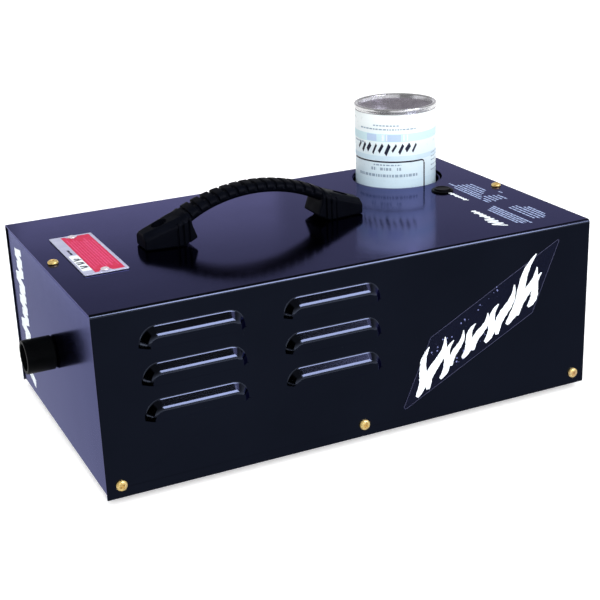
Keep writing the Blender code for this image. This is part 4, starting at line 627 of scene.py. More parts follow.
def can_coat():
    """Gloss coat, white at the top and a paler blue lower down, towards the casing."""
    finish = new_material("can_paint", (0.86, 0.93, 0.95), 0.3, 0.0, (("Specular IOR Level", 0.4),))
    nodes, links = finish.node_tree.nodes, finish.node_tree.links
    split = nodes.new("ShaderNodeSeparateXYZ")
    links.new(nodes.new("ShaderNodeTexCoord").outputs["Object"], split.inputs["Vector"])
    height = nodes.new("ShaderNodeMapRange")
    height.inputs["From Min"].default_value = (HEIGHT + CAN_FADE[0]) * MM
    height.inputs["From Max"].default_value = (HEIGHT + CAN_FADE[1]) * MM
    links.new(split.outputs["Z"], height.inputs["Value"])
    vary_colour(finish, height.outputs["Result"], CAN_TONES, 0.0, 1.0)
    vary_roughness(finish, noise(finish, 300.0, 3.0), 0.26, 0.36)
    add_bump(finish, noise(finish, 900.0, 2.0), 0.006)
    return finish


def decal_film():
    """Glossy black film, finely speckled."""
    finish = new_material("decal_film", (0.004, 0.005, 0.014), 0.2, 0.0, (("Specular IOR Level", 0.2),))
    vary_colour(finish, cells(finish, 260.0), ((0.035, 0.04, 0.09), (0.003, 0.004, 0.012)), 0.02, 0.08)
    vary_roughness(finish, noise(finish, 60.0), 0.14, 0.24)
    add_bump(finish, noise(finish, 300.0), 0.008)
    return finish


def make_materials():
    """Every finish by its name; the names are the record's slots wherever it has one."""
    tables = ((enamel, ENAMELS), (moulded_plastic, PLASTICS), (plated_metal, METALS), (ink, INKS))
    finishes = {name: make(name, *settings) for make, table in tables for name, settings in table.items()}
    finishes["glass_wool"] = glass_mat()
    finishes["board_laminate"] = circuit_laminate()
    finishes["lamp_lens"] = lamp_lens()
    finishes["can_paint"] = can_coat()
    finishes["decal_film"] = decal_film()
    return finishes


# --- Shapes ------------------------------------------------------------------------------

def loft(shapes, rings, capped=False, joined=False, index=0):
    """Faces between rings of points, each ring closed on itself."""
    rows = [[shapes.verts.new(point) for point in ring] for ring in rings]
    following = rows[1:] + rows[:1] if joined else rows[1:]
    faces = [
        shapes.faces.new((row[i - 1], row[i], beyond[i], beyond[i - 1]))
        for row, beyond in zip(rows, following)
        for i in range(len(row))
    ]
    if capped:
        faces.append(shapes.faces.new(rows[0]))
        faces.append(shapes.faces.new(rows[-1]))
    for face in faces:
        face.material_index = index
    return faces


def turn(shapes, profile, place, axis="Z", sides=MIDDLE, open_ended=False, index=0):
    """Spin (radius, height) points round an axis; a profile off the axis closes on itself."""
    rings = []
    for radius, height in profile:
        ring = []
        for side in range(sides):
            angle = math.tau * side / sides
            spoke = Vector((radius * math.cos(angle), radius * math.sin(angle), height))
            ring.append(Vector(place) + TURNS[axis] @ spoke)
        rings.append(ring)
    return loft(shapes, rings, joined=profile[0][0] > 0 and not open_ended, index=index)


def draw_box(shapes, low, high):
    low = Vector(low)
    size = Vector(high) - low
    matrix = Matrix.Translation(low + size / 2) @ Matrix.Diagonal((*size, 1))
    return bmesh.ops.create_cube(shapes, size=1, matrix=matrix)["verts"]


def rounded(points, radius, steps=4, closed=False):
    """A 2D path with an arc at each corner; radius is one number, or one for each point."""
    points = [Vector(point) for point in points]
    radii = radius if isinstance(radius, (list, tuple)) else [radius] * len(points)
    path = []
    for index, corner in enumerate(points):
        if not radii[index] or not closed and index in (0, len(points) - 1):
            path.append(corner)
            continue
        towards = (points[index - 1] - corner).normalized()
        away = (points[(index + 1) % len(points)] - corner).normalized()
        half = towards.angle(away) / 2
        reach = radii[index] / math.tan(half)
        centre = corner + (towards + away).normalized() * radii[index] / math.sin(half)
        start = corner + towards * reach - centre
        end = corner + away * reach - centre
        sweep = math.atan2(start.x * end.y - start.y * end.x, start.dot(end))
        for step in range(steps + 1):
            path.append(centre + Matrix.Rotation(sweep * step / steps, 2) @ start)
    return path


def rectangle(u_low, v_low, u_high, v_high):
    return [(u_low, v_low), (u_high, v_low), (u_high, v_high), (u_low, v_high)]


def rounded_rectangle(middle, half, radius, steps=6):
    u, v = middle
    corners = rectangle(u - half[0], v - half[1], u + half[0], v + half[1])
    return rounded(corners, radius, steps, closed=True)


def circle(middle, radius, sides=SMALL):
    u, v = middle
    angles = [math.tau * side / sides for side in range(sides)]
    return [Vector((u + radius * math.cos(angle), v + radius * math.sin(angle))) for angle in angles]


def on_top(u, v, out=0.0):
    return Vector((u, v, HEIGHT + out))


def on_front(u, v, out=0.0):
    return Vector((u, -out, v))


def on_back(u, v, out=0.0):
    return Vector((u, DEPTH + out, v))


def on_left_end(u, v, out=0.0):
    return Vector((END_INSET - out, u, v))


def square_to_x(x):
    return lambda u, v: Vector((x, u, v))


def square_to_y(y):
    return lambda u, v: Vector((u, y, v))


def square_to_z(z):
    return lambda u, v: Vector((u, v, z))


def prism(shapes, surface, outline, low, high):
    """A closed solid between two heights over an outline that is drawn on a surface."""
    rings = [[surface(u, v, height) for u, v in outline] for height in (low, high)]
    return loft(shapes, rings, capped=True)


def ribbon(shapes, surface, path, widths, low, high):
    """A flat stroke along a path that is drawn on a surface."""
    rings = []
    for place, point in enumerate(path):
        before = Vector(path[max(place - 1, 0)])
        after = Vector(path[min(place + 1, len(path) - 1)])
        along = (after - before).normalized()
        across = Vector((-along.y, along.x)) * widths[place] / 2
        left, right = Vector(point) + across, Vector(point) - across
        corners = ((left, low), (right, low), (right, high), (left, high))
        rings.append([surface(edge.x, edge.y, height) for edge, height in corners])
    loft(shapes, rings, capped=True)


def bar(shapes, surface, start, end, width, low, high, step=1000.0):
    """A straight stroke, cut into short lengths where the surface is curved."""
    start, end = Vector(start), Vector(end)
    count = max(1, math.ceil((end - start).length / step))
    path = [start.lerp(end, place / count) for place in range(count + 1)]
    ribbon(shapes, surface, path, [width] * (count + 1), low, high)


def greek_line(shapes, surface, start, along, length, height, chance, low, high):
    """A line of print too small to read: dashes of random length with gaps between them."""
    start, along = Vector(start), Vector(along).normalized()
    reached = 0.0
    while reached < length:
        dash = min(chance.uniform(*DASH) * height, length - reached)
        bar(shapes, surface, start + along * reached, start + along * (reached + dash), height, low, high)
        reached += dash + DASH_GAP * height


def join_duplicates(shapes):
    bmesh.ops.remove_doubles(shapes, verts=shapes.verts, dist=WELD)


def new_object(name, shapes):
    """Turn a bmesh into an object in the scene."""
    mesh = bpy.data.meshes.new(name)
    shapes.to_mesh(mesh)
    shapes.free()
    made = bpy.data.objects.new(name, mesh)
    bpy.context.scene.collection.objects.link(made)
    return made


def piece(name, shapes, finishes, replaces=(), body="machine", smooth=35, closed=True):
    """Turn a bmesh into a visible piece that rides on a body and stands for CAD nodes."""
    join_duplicates(shapes)
    if closed:
        bmesh.ops.recalc_face_normals(shapes, faces=shapes.faces)
    bmesh.ops.translate(shapes, vec=CORNER, verts=shapes.verts)
    bmesh.ops.scale(shapes, vec=(MM, MM, MM), verts=shapes.verts)
    made = new_object(name, shapes)
    for finish in finishes:
        made.data.materials.append(FINISHES[finish])
    made.data.shade_smooth()
    made.data.set_sharp_from_angle(angle=math.radians(smooth))
    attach(made, body)
    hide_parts(*replaces)
    return made


def bevel(made, width, segments=2, angle=40):
    modifier = made.modifiers.new("Bevel", "BEVEL")
    modifier.width = width * MM
    modifier.segments = segments
    modifier.limit_method = "ANGLE"
    modifier.angle_limit = math.radians(angle)
    modifier.harden_normals = True
    return made


def weigh_normals(made):
    modifier = made.modifiers.new("Weighted", "WEIGHTED_NORMAL")
    modifier.keep_sharp = True
    return made


def apply_modifiers(made):
    """Bake the modifiers so far into the mesh."""
    bpy.context.view_layer.update()
    baked = bpy.data.meshes.new_from_object(made.evaluated_get(bpy.context.evaluated_depsgraph_get()))
    made.modifiers.clear()
    made.data = baked
    return made


def scratch_object(shapes):
    """An object in mm for a Boolean, which its caller removes again."""
    join_duplicates(shapes)
    bmesh.ops.recalc_face_normals(shapes, faces=shapes.faces)
    return new_object("scratch", shapes)


def cut(blank, cutter, **settings):
    """Mesh of the blank with the cutter's shape taken out; both objects go."""
    modifier = blank.modifiers.new("Cuts", "BOOLEAN")
    modifier.object = cutter
    for name, value in settings.items():
        setattr(modifier, name, value)
    mesh = apply_modifiers(blank).data
    bpy.data.objects.remove(blank)
    bpy.data.objects.remove(cutter)
    return mesh


# --- Casing ------------------------------------------------------------------------------

def fill_panel(shapes, surface, outline, holes, outward):
    """A flat panel with holes, its faces towards outward."""
    edges = []
    for loop in (outline, *holes):
        verts = [shapes.verts.new(surface(u, v)) for u, v in loop]
        edges += [shapes.edges.new((verts[i - 1], verts[i])) for i in range(len(verts))]
    filled = bmesh.ops.triangle_fill(shapes, use_beauty=True, edges=edges)["geom"]
    face_outwards([item for item in filled if isinstance(item, bmesh.types.BMFace)], outward)


def face_outwards(faces, outward):
    for face in faces:
        face.normal_update()
        if face.normal.dot(Vector(outward)) < 0:
            face.normal_flip()


def louvre_line(inset):
    """A louvre's edge that far inside its outline, from its left foot over the top to its right."""
    line = [Vector((inset, 0.0))]
    for middle, start in ((LOUVRE_CORNER, math.pi), (LOUVRE_WIDTH - LOUVRE_CORNER, math.pi / 2)):
        for step in range(LOUVRE_CORNER_STEPS + 1):
            angle = start - math.pi / 2 * step / LOUVRE_CORNER_STEPS
            arm = Vector((math.cos(angle), math.sin(angle))) * (LOUVRE_CORNER - inset)
            line.append(Vector((middle, LOUVRE_HEIGHT - LOUVRE_CORNER)) + arm)
    line.append(Vector((LOUVRE_WIDTH - inset, 0.0)))
    return line


def louvre_section():
    """(distance inside the outline, height over the panel), from the panel to the face."""
    rise = 1 - math.cos(LOUVRE_SLOPE)
    straight = (LOUVRE_OUT - (LOUVRE_ROOT + LOUVRE_CREST) * rise) / math.tan(LOUVRE_SLOPE)
    reach = (LOUVRE_ROOT + LOUVRE_CREST) * math.sin(LOUVRE_SLOPE) + straight
    section = []
    for step in range(LOUVRE_ROOT_STEPS + 1):
        angle = LOUVRE_SLOPE * step / LOUVRE_ROOT_STEPS
        section.append((LOUVRE_ROOT * math.sin(angle), LOUVRE_ROOT * (1 - math.cos(angle))))
    for step in range(LOUVRE_CREST_STEPS + 1):
        angle = LOUVRE_SLOPE * (1 - step / LOUVRE_CREST_STEPS)
        drop = LOUVRE_CREST * (1 - math.cos(angle))
        section.append((reach - LOUVRE_CREST * math.sin(angle), LOUVRE_OUT - drop))
    return section


def draw_louvre(shapes, surface, left, lip, outward):
    """One pressed hood, open along its lower lip."""
    rows = []
    for inset, out in louvre_section():
        rows.append([shapes.verts.new(surface(left + x, lip + z, out)) for x, z in louvre_line(inset)])
    face_outwards([shapes.faces.new(rows[-1])], outward)
    slopes = [
        shapes.faces.new((row[i], row[i + 1], beyond[i + 1], beyond[i]))
        for row, beyond in zip(rows, rows[1:])
        for i in range(len(row) - 1)
    ]
    for face in slopes:
        face.normal_update()
    if slopes[len(slopes) // 2].normal.dot(Vector(outward)) < 0:
        for face in slopes:
            face.normal_flip()


def louvred_side(shapes, surface, outward):
    """The front or the back of the cover."""
    holes = [circle((x, screw_height()), SCREW_HOLE, SCREW_SIDES) for x in screw_xs()]
    for left in LOUVRE_LEFTS:
        for top in LOUVRE_TOPS:
            lip = top - LOUVRE_HEIGHT
            draw_louvre(shapes, surface, left, lip, outward)
            holes.append([Vector((left, lip)) + point for point in louvre_line(0.0)])
    fill_panel(shapes, surface, rectangle(0, 0, LENGTH, HEIGHT - BEND), holes, outward)


def screw_xs():
    return [casing_middle(f"cover_screw_front_{place}").x for place in ("left", "middle", "right")]


def screw_height():
    return casing_middle("cover_screw_front_middle").z


def draw_bend(shapes, centre, start, low, high, run):
    """A quarter bend about an axis along run, x or y; start is its first angle."""
    strips = []
    for step in range(BEND_STEPS + 1):
        angle = start + math.pi / 2 * step / BEND_STEPS
        arm = (BEND * math.cos(angle), BEND * math.sin(angle))
        strips.append([bend_point(centre, arm, along, run) for along in (low, high)])
    middle = bend_point(centre, (0, 0), low, run)
    for first, second in zip(strips, strips[1:]):
        face = shapes.faces.new([shapes.verts.new(point) for point in (*first, *reversed(second))])
        face_outwards([face], first[0] - middle)


def bend_point(centre, arm, along, run):
    if run == "x":
        return Vector((along, centre[0] + arm[0], centre[1] + arm[1]))
    return Vector((centre[0] + arm[0], along, centre[1] + arm[1]))


def thicken(made):
    """Give a sheet its thickness inwards, and round its cut edges."""
    modifier = made.modifiers.new("Sheet", "SOLIDIFY")
    modifier.thickness = SHEET * MM
    modifier.offset = -1.0
    bevel(made, EDGE_ROUNDING, 2, 60)
    return weigh_normals(made)


def make_cover():
    """Front, back and top with their louvres and holes, and the two bends between them."""
    shapes = bmesh.new()
    louvred_side(shapes, on_front, (0, -1, 0))
    louvred_side(shapes, on_back, (0, 1, 0))
    draw_bend(shapes, (BEND, HEIGHT - BEND), math.pi / 2, 0, LENGTH, "x")
    draw_bend(shapes, (DEPTH - BEND, HEIGHT - BEND), 0, 0, LENGTH, "x")
    can = casing_middle("canister_body")
    button = casing_middle("fog_button")
    holes = [circle((can.x + CAN_HOLE_SHIFT, can.y), CAN_HOLE, LARGE), circle(button.xy, BUTTON_HOLE)]
    for node, radius in (
        ("cover_screw_top_left", SCREW_HOLE), ("cover_screw_top_right", SCREW_HOLE),
        ("handle_screw_left", SCREW_HOLE), ("handle_screw_right", SCREW_HOLE),
        ("rating_plate_rivet_front", RIVET_HOLE), ("rating_plate_rivet_back", RIVET_HOLE),
    ):
        holes.append(circle(casing_middle(node).xy, radius, SCREW_SIDES))
    fill_panel(shapes, on_top, rectangle(0, BEND, LENGTH, DEPTH - BEND), holes, (0, 0, 1))
    thicken(piece("cover_shell", shapes, ["casing_paint"], ["cover"], closed=False))


def right_end_holes():
    """Openings for the lamp, the remote socket, the mains inlet and the switch."""
    lamp = casing_middle("ready_lamp")
    remote = casing_middle("remote_socket")
    holes = [circle(lamp.yz, LAMP_HOLE), circle(remote.yz, REMOTE_HOLE)]
    for node, lip in (("inlet_housing", INLET_LIP), ("power_switch_body", SWITCH_LIP)):
        low, high = casing_box(node)
        half = (high - low).yz / 2 - Vector((lip, lip))
        holes.append(rounded_rectangle((low + high).yz / 2, half, PANEL_HOLE_CORNER))
    return holes


def floor_holes():
    """Holes for the feet and a row of slots that let cool air in."""
    holes = [circle(casing_middle(node).xy, FOOT_HOLE) for node in FEET]
    for slot in range(VENT_SLOTS):
        middle = (VENT_FIRST_X + VENT_PITCH * slot, MID_Y)
        holes.append(rounded_rectangle(middle, VENT_HALF, VENT_CORNER))
    return holes


def make_chassis():
    """Floor, two ends with their tabs, and the floor's two flanges."""
    low, high = casing_box("base_chassis")
    shapes = bmesh.new()
    upright = rectangle(low.y, BEND, high.y, high.z - BEND)
    spigot = circle(casing_middle("nozzle_lock_ring").yz, SPIGOT_HOLE)
    fill_panel(shapes, square_to_x(low.x), upright, [spigot], (-1, 0, 0))
    fill_panel(shapes, square_to_x(high.x), upright, right_end_holes(), (1, 0, 0))
    floor = rectangle(low.x + BEND, low.y, high.x - BEND, high.y)
    fill_panel(shapes, square_to_z(0), floor, floor_holes(), (0, 0, -1))
    for x, start in ((low.x + BEND, math.pi / 2), (high.x - BEND, 0)):
        draw_bend(shapes, (x, high.z - BEND), start, low.y, high.y, "y")
    for x, start in ((low.x + BEND, math.pi), (high.x - BEND, -math.pi / 2)):
        draw_bend(shapes, (x, BEND), start, low.y, high.y, "y")
    for x, inward, place in ((low.x, 1, "left"), (high.x, -1, "right")):
        ends = sorted((x + inward * BEND, x + inward * TAB_LENGTH))
        hole = circle((casing_middle(f"cover_screw_top_{place}").x, MID_Y), SCREW_HOLE, SCREW_SIDES)
        tab = rectangle(ends[0], low.y, ends[1], high.y)
        fill_panel(shapes, square_to_z(high.z), tab, [hole], (0, 0, 1))
    flange = rectangle(low.x + FLANGE_INSET, SHEET / 2, high.x - FLANGE_INSET, CHASSIS_FLANGE)
    for y, outward in ((low.y, -1), (high.y, 1)):
        fill_panel(shapes, square_to_y(y), flange, [], (0, outward, 0))
    # The chassis takes the darker copy of the casing's enamel: painted shade on its ends.
    thicken(piece("chassis_shell", shapes, ["end_paint"], ["base_chassis"], closed=False))


def make_feet():
    """Rubber feet with a rounded rim and a moulded hollow underneath."""
    for node in FEET:
        low, high = casing_box(node)
        middle = (low + high) / 2
        radius = (high.x - low.x) / 2
        stem = [(reach, high.z + level) for reach, level in FOOT_STEM]
        rim = [(FOOT_NECK, -GAP), (radius, -GAP), (radius - FOOT_TAPER, low.z)]
        hollow = [(reach, low.z + level) for reach, level in FOOT_HOLLOW]
        shapes = bmesh.new()
        profile = stem + rounded(rim + hollow, FOOT_ROUNDINGS, steps=5)
        turn(shapes, profile, (middle.x, middle.y, 0), sides=SMALL)
        piece(f"{node}_pad", shapes, ["rubber"], [node])


# --- Fasteners ---------------------------------------------------------------------------

def screw_blank(head, height, shank, length):
    """Pan head with a rounded rim over a threaded shank, pointing up from zero."""
    profile = [(0, height)]
    for step in range(1, HEAD_STEPS + 1):
        angle = math.pi / 2 * step / HEAD_STEPS
        radius = head * (HEAD_FLAT + (1 - HEAD_FLAT) * math.sin(angle))
        profile.append((radius, height * (HEAD_SKIRT + (1 - HEAD_SKIRT) * math.cos(angle))))
    profile += [(head, HEAD_CHAMFER[1]), (head - HEAD_CHAMFER[0], 0), (shank, 0)]
    depth = 0.0
    while depth < length - 2 * THREAD_PITCH:
        profile += [(shank, -depth), (shank - THREAD_DEPTH, -depth - THREAD_PITCH / 2)]
        depth += THREAD_PITCH
    profile += [(shank, -depth), (shank, THREAD_PITCH - length)]
    profile += [(shank - POINT_TAPER, -length), (0, -length)]
    shapes = bmesh.new()
    turn(shapes, profile, (0, 0, 0), sides=SMALL)
    return shapes


def cross_recess(height, reach, width, depth):
    """A driver's cross, narrower at its bottom."""
    shapes = bmesh.new()
    for half in ((reach, width), (width, reach)):
        rings = []
        for level, share in ((height + 1, 1.0), (height - depth, CROSS_TAPER)):
            x, y = half[0] * share, half[1] * share
            rings.append([Vector((u, v, level)) for u, v in rectangle(-x, -y, x, y)])
        loft(shapes, rings, capped=True)
    return shapes


def screw_mesh(head, height, shank, length):
    """Mesh of a whole screw in mm about its own seat."""
    blank = scratch_object(screw_blank(head, height, shank, length))
    cross = cross_recess(height, CROSS_REACH * head, CROSS_WIDTH * head, CROSS_DEPTH * height)
    return cut(blank, scratch_object(cross), use_self=True)


def place_screw(node, mesh, axis, sign, turned):
    """A copy of a screw's mesh where a CAD screw is, its seat at the CAD head's underside."""
    low, high = casing_box(node)
    shapes = bmesh.new()
    shapes.from_mesh(mesh)
    head = max(vert.co.z for vert in mesh.vertices)
    direction = "XYZ".index(axis)
    seat = (low + high) / 2
    seat[direction] = high[direction] - head if sign > 0 else low[direction] + head
    spin = Matrix.Rotation(turned, 3, "Z")
    flip = Matrix.Rotation(0 if axis == "Z" else -sign * math.pi / 2, 3, "X")
    for vert in shapes.verts:
        vert.co = seat + flip @ spin @ vert.co
    made = piece(f"{node}_fine", shapes, ["yellow_zinc"], [node], smooth=38)
    weigh_normals(bevel(made, SCREW_ROUNDING, 2, 50))


def make_screws(chance):
    mesh = screw_mesh(*COVER_SCREW)
    for place in ("left", "middle", "right"):
        place_screw(f"cover_screw_front_{place}", mesh, "Y", -1, chance.uniform(*SCREW_TURN))
        place_screw(f"cover_screw_back_{place}", mesh, "Y", 1, chance.uniform(*SCREW_TURN))
    for place in ("left", "right"):
        place_screw(f"cover_screw_top_{place}", mesh, "Z", 1, chance.uniform(*SCREW_TURN))
    mesh = screw_mesh(*HANDLE_SCREW)
    for place in ("left", "right"):
        place_screw(f"handle_screw_{place}", mesh, "Z", 1, chance.uniform(*SCREW_TURN))


# --- Handle ------------------------------------------------------------------------------

def arc_height(radius, crown, x):
    return crown - radius + math.sqrt(radius * radius - x * x)


def groove_depth(x):
    """How far the grip is cut back at x by the nearest groove, and its pillow between them."""
    nearest = round(x / HANDLE_RIB_PITCH)
    if abs(nearest) > (HANDLE_RIBS - 1) / 2:
        return 0.0
    away = abs(x - nearest * HANDLE_RIB_PITCH)
    notch = HANDLE_GROOVE_DEPTH * max(0.0, 1 - (away / HANDLE_GROOVE_HALF) ** HANDLE_GROOVE_POWER)
    return notch + HANDLE_PILLOW * (2 * away / HANDLE_RIB_PITCH - 1) ** 2


def grip_stations():
    """Places along the grip, close together across each groove."""
    stations = set()
    half = (HANDLE_RIBS - 1) // 2
    for groove in range(-half, half + 1):
        middle = groove * HANDLE_RIB_PITCH
        stations.update(round(middle + share * HANDLE_GROOVE_HALF, 4) for share in GROOVE_STATIONS)
        stations.update(round(middle + share * HANDLE_RIB_PITCH, 4) for share in RIB_STATIONS)
    edge = half * HANDLE_RIB_PITCH
    ends = (-edge - LAST_STATIONS[0], edge + LAST_STATIONS[1])
    stations.update((-HANDLE_ARC_REACH, *ends, HANDLE_ARC_REACH))
    return sorted(stations)


def grip_ring(middle, x):
    """The grip's section at x: a flattened oval, square to the arch and cut back by the ribs."""
    top = arc_height(HANDLE_TOP_RADIUS, HANDLE_RISE, x)
    under = arc_height(HANDLE_UNDER_RADIUS, HANDLE_RISE - HANDLE_GRIP, x)
    lean = math.asin(x / HANDLE_TOP_RADIUS)
    centre = Vector((x, 0, (top + under) / 2))
    upright = Vector((math.sin(lean), 0, math.cos(lean)))
    half_height = (top - under) / 2 * math.cos(lean)
    swell = min(1.0, abs(x) / HANDLE_SWELL_REACH) ** HANDLE_SWELL_POWER
    half_width = (HANDLE_GRIP_WIDTH + swell * (HANDLE_WIDTH - 1 - HANDLE_GRIP_WIDTH)) / 2
    ring = []
    for side in range(GRIP_SIDES):
        angle = math.tau * side / GRIP_SIDES
        cos, sin = math.cos(angle), math.sin(angle)
        across = half_width * math.copysign(abs(cos) ** GRIP_POWERS[0], cos)
        rise = half_height * math.copysign(abs(sin) ** GRIP_POWERS[1], sin)
        ribbed = min(1.0, max(0.0, (sin + RIB_FADE[0]) / RIB_FADE[1]))
        inward = groove_depth(x) * ribbed + HANDLE_STEP * (1 - ribbed)
        share = max(0.0, 1 - inward / math.hypot(across, rise))
        ring.append(middle + centre + Vector((0, across * share, 0)) + upright * rise * share)
    return ring


def block_outline():
    """Side view of an end block, from its heel up its inner wall and out to its tip."""
    inner_top = arc_height(HANDLE_TOP_RADIUS, HANDLE_RISE, BLOCK_INNER) - BLOCK_STEP
    start = HANDLE_REACH - HANDLE_TIP_TAPER
    slope = (HANDLE_TIP_HEIGHT - inner_top) / (HANDLE_REACH - BLOCK_INNER)
    return [
        BLOCK_HEEL, BLOCK_WALL, (BLOCK_INNER, inner_top), (start, inner_top + slope * (start - BLOCK_INNER)),
        (HANDLE_REACH, HANDLE_TIP_HEIGHT), (HANDLE_REACH, GAP), (start, GAP), (BLOCK_SOLE, GAP),
    ]


def draw_block(shapes):
    """The right end block: its side view, closing in towards the tip and sloping off at the top."""
    start = HANDLE_REACH - HANDLE_TIP_TAPER
    rings = []
    for edge, inset in ((-1, 0.0), (-1, SHOULDER_WIDTH), (1, SHOULDER_WIDTH), (1, 0.0)):
        ring = []
        for x, z in block_outline():
            taper = max(0.0, x - start) / HANDLE_TIP_TAPER
            half = (HANDLE_WIDTH - taper * (HANDLE_WIDTH - HANDLE_TIP_WIDTH)) / 2
            drop = SHOULDER_DROP if z > SHOULDER_FOOT and not inset else 0.0
            ring.append(Vector((x, edge * (half - inset), z - drop)))
        rings.append(ring)
    loft(shapes, rings, capped=True)


def draw_block_cuts(shapes):
    """Recess and hole for the screw, and three upright grooves in each face."""
    recess = [
        (0, CUT_HIGH), (HANDLE_RECESS, CUT_HIGH), (HANDLE_RECESS, HANDLE_RECESS_FLOOR),
        (HANDLE_SCREW_HOLE, HANDLE_RECESS_FLOOR), (HANDLE_SCREW_HOLE, CUT_LOW), (0, CUT_LOW),
    ]
    turn(shapes, recess, (HANDLE_SCREW_REACH, 0, 0), sides=SMALL)
    face = HANDLE_WIDTH / 2
    for groove in range(SIDE_GROOVES):
        x = SIDE_GROOVE_FIRST + SIDE_GROOVE_PITCH * groove
        for edge in (-1, 1):
            ends = sorted((edge * (face - SIDE_GROOVE_DEPTH), edge * (face + 2)))
            low, high = (x - SIDE_GROOVE_HALF, ends[0], CUT_LOW), (x + SIDE_GROOVE_HALF, ends[1], CUT_HIGH)
            draw_box(shapes, low, high)


def block_mesh():
    """Mesh of the right end block in mm about the handle's middle."""
    block, cuts = bmesh.new(), bmesh.new()
    draw_block(block)
    draw_block_cuts(cuts)
    blank = scratch_object(block)
    modifier = blank.modifiers.new("Bevel", "BEVEL")
    modifier.width = BLOCK_ROUNDING
    modifier.segments = 4
    modifier.limit_method = "ANGLE"
    modifier.angle_limit = math.radians(12)
    return cut(blank, scratch_object(cuts), solver="MANIFOLD")


def make_handle():
    """The ribbed arch and the block at each of its ends, one the mirror of the other."""
    low, high = casing_box("handle")
    middle = Vector(((low.x + high.x) / 2, (low.y + high.y) / 2, HEIGHT))
    shapes = bmesh.new()
    loft(shapes, [grip_ring(middle, x) for x in grip_stations()], capped=True)
    weigh_normals(piece("handle_grip", shapes, ["handle_plastic"], ["handle"], smooth=28))
    mesh = block_mesh()
    for name, side in (("handle_foot_left", -1), ("handle_foot_right", 1)):
        shapes = bmesh.new()
        shapes.from_mesh(mesh)
        for vert in shapes.verts:
            vert.co = middle + Vector((side * vert.co.x, vert.co.y, vert.co.z))
        weigh_normals(piece(name, shapes, ["handle_plastic"], smooth=28))


# --- Rating plate ------------------------------------------------------------------------

def make_rating_plate(chance):
    """Bare metal plate with a red panel of unreadable lines, and a marked white block by it."""
    low, high = casing_box("rating_plate")
    base, top = low.z - HEIGHT, high.z - HEIGHT
    shapes = bmesh.new()
    outline = rounded_rectangle((low + high).xy / 2, (high - low).xy / 2, PLATE_CORNER)
    prism(shapes, on_top, outline, base, top)
    plate = piece("rating_plate_sheet", shapes, ["plate_metal"], ["rating_plate"])
    weigh_normals(bevel(plate, PLATE_ROUNDING, 2, 60))

    shapes = bmesh.new()
    left, right = low.x + PLATE_STRIP, high.x - PLATE_BORDER
    front, back = low.y + PLATE_BORDER, high.y - PLATE_BORDER
    rivet_x = casing_middle("rating_plate_rivet_front").x
    outline = [(left, front), *half_moon(rivet_x, front, 1), (right, front)]
    outline += [(right, back), *half_moon(rivet_x, back, -1), (left, back)]
    prism(shapes, on_top, outline, top - INK, top + INK)
    piece("rating_plate_panel", shapes, ["plate_red"])

    shapes = bmesh.new()
    for row, tall in enumerate(PLATE_LINES):
        x = left + PLATE_LINE_FIRST + row * PLATE_LINE_PITCH
        start = front + chance.uniform(*PLATE_LINE_STARTS)
        length = back - chance.uniform(*PLATE_LINE_ENDS) - start
        greek_line(shapes, on_top, (x, start), (0, 1), length, tall, chance, top, top + 2 * INK)
    piece("rating_plate_lines", shapes, ["plate_rose"])

    shapes = bmesh.new()
    (x, y), half, corner = PLATE_BLOCK
    x += low.x
    prism(shapes, on_top, rounded_rectangle((x, low.y + y), half, corner), top - INK, top + INK)
    piece("rating_plate_blocks", shapes, ["white_ink"])
    shapes = bmesh.new()
    for mark, tall in enumerate(PLATE_MARKS):
        y = low.y + PLATE_MARK_FIRST + PLATE_MARK_PITCH * mark
        end = (x + tall, y + PLATE_MARK_SLANT * (-1) ** mark)
        bar(shapes, on_top, (x - tall, y), end, PLATE_MARK_WIDTH, top, top + 2 * INK)
    start, length, tall = PLATE_CODE
    greek_line(shapes, on_top, (x, low.y + start), (0, 1), length, tall, chance, top - INK, top + INK)
    piece("rating_plate_marks", shapes, ["dark_ink"])


def half_moon(x, y, side):
    """A bite out of the panel's edge round a rivet, from left to right or back."""
    steps = 12
    angles = [math.pi * (1 - step / steps) for step in range(steps + 1)]
    across, deep = RIVET_RELIEF
    return [(x + side * across * math.cos(angle), y + side * deep * math.sin(angle)) for angle in angles]


def make_rivets():
    for place in ("front", "back"):
        node = f"rating_plate_rivet_{place}"
        low, high = casing_box(node)
        middle = (low + high) / 2
        head = (high.x - low.x) / 2
        seat = high.z - RIVET_HEAD
        profile = [(0, high.z)]
        for step in range(1, RIVET_STEPS + 1):
            angle = math.pi / 2 * step / RIVET_STEPS
            level = seat + RIVET_EDGE + (RIVET_HEAD - RIVET_EDGE) * math.cos(angle)
            profile.append((head * math.sin(angle), level))
        profile += [(head, seat), (RIVET_SHANK, seat), (RIVET_SHANK, low.z), (0, low.z)]
        shapes = bmesh.new()
        turn(shapes, profile, (middle.x, middle.y, 0), sides=SMALL)
        piece(f"{node}_dome", shapes, ["rivet_metal"], [node])


# --- Nozzle ------------------------------------------------------------------------------

def make_nozzle():
    """A turned spout with a wide mouth, a funnel, and a spigot through the casing."""
    low, high = casing_box("nozzle")
    middle = (low + high) / 2
    radius = (high.y - low.y) / 2
    tip = low.x
    flange = END_INSET - GAP
    throat = tip + NOZZLE_MOUTH_DEPTH
    outside = [
        (NOZZLE_SPIGOT, high.x), (NOZZLE_SPIGOT, flange), (radius - NOZZLE_CHAMFER, flange),
        (radius, flange - NOZZLE_CHAMFER), (radius, tip), (NOZZLE_MOUTH, tip), (NOZZLE_MOUTH, throat),
        (NOZZLE_BORE, throat + NOZZLE_FUNNEL), (NOZZLE_BORE, high.x),
    ]
    shapes = bmesh.new()
    turn(shapes, rounded(outside, NOZZLE_ROUNDINGS, steps=5), (0, middle.y, middle.z), "X", LARGE)
    weigh_normals(piece("nozzle_spout", shapes, ["nozzle_plastic"], ["nozzle"]))


# --- Fluid can ---------------------------------------------------------------------------

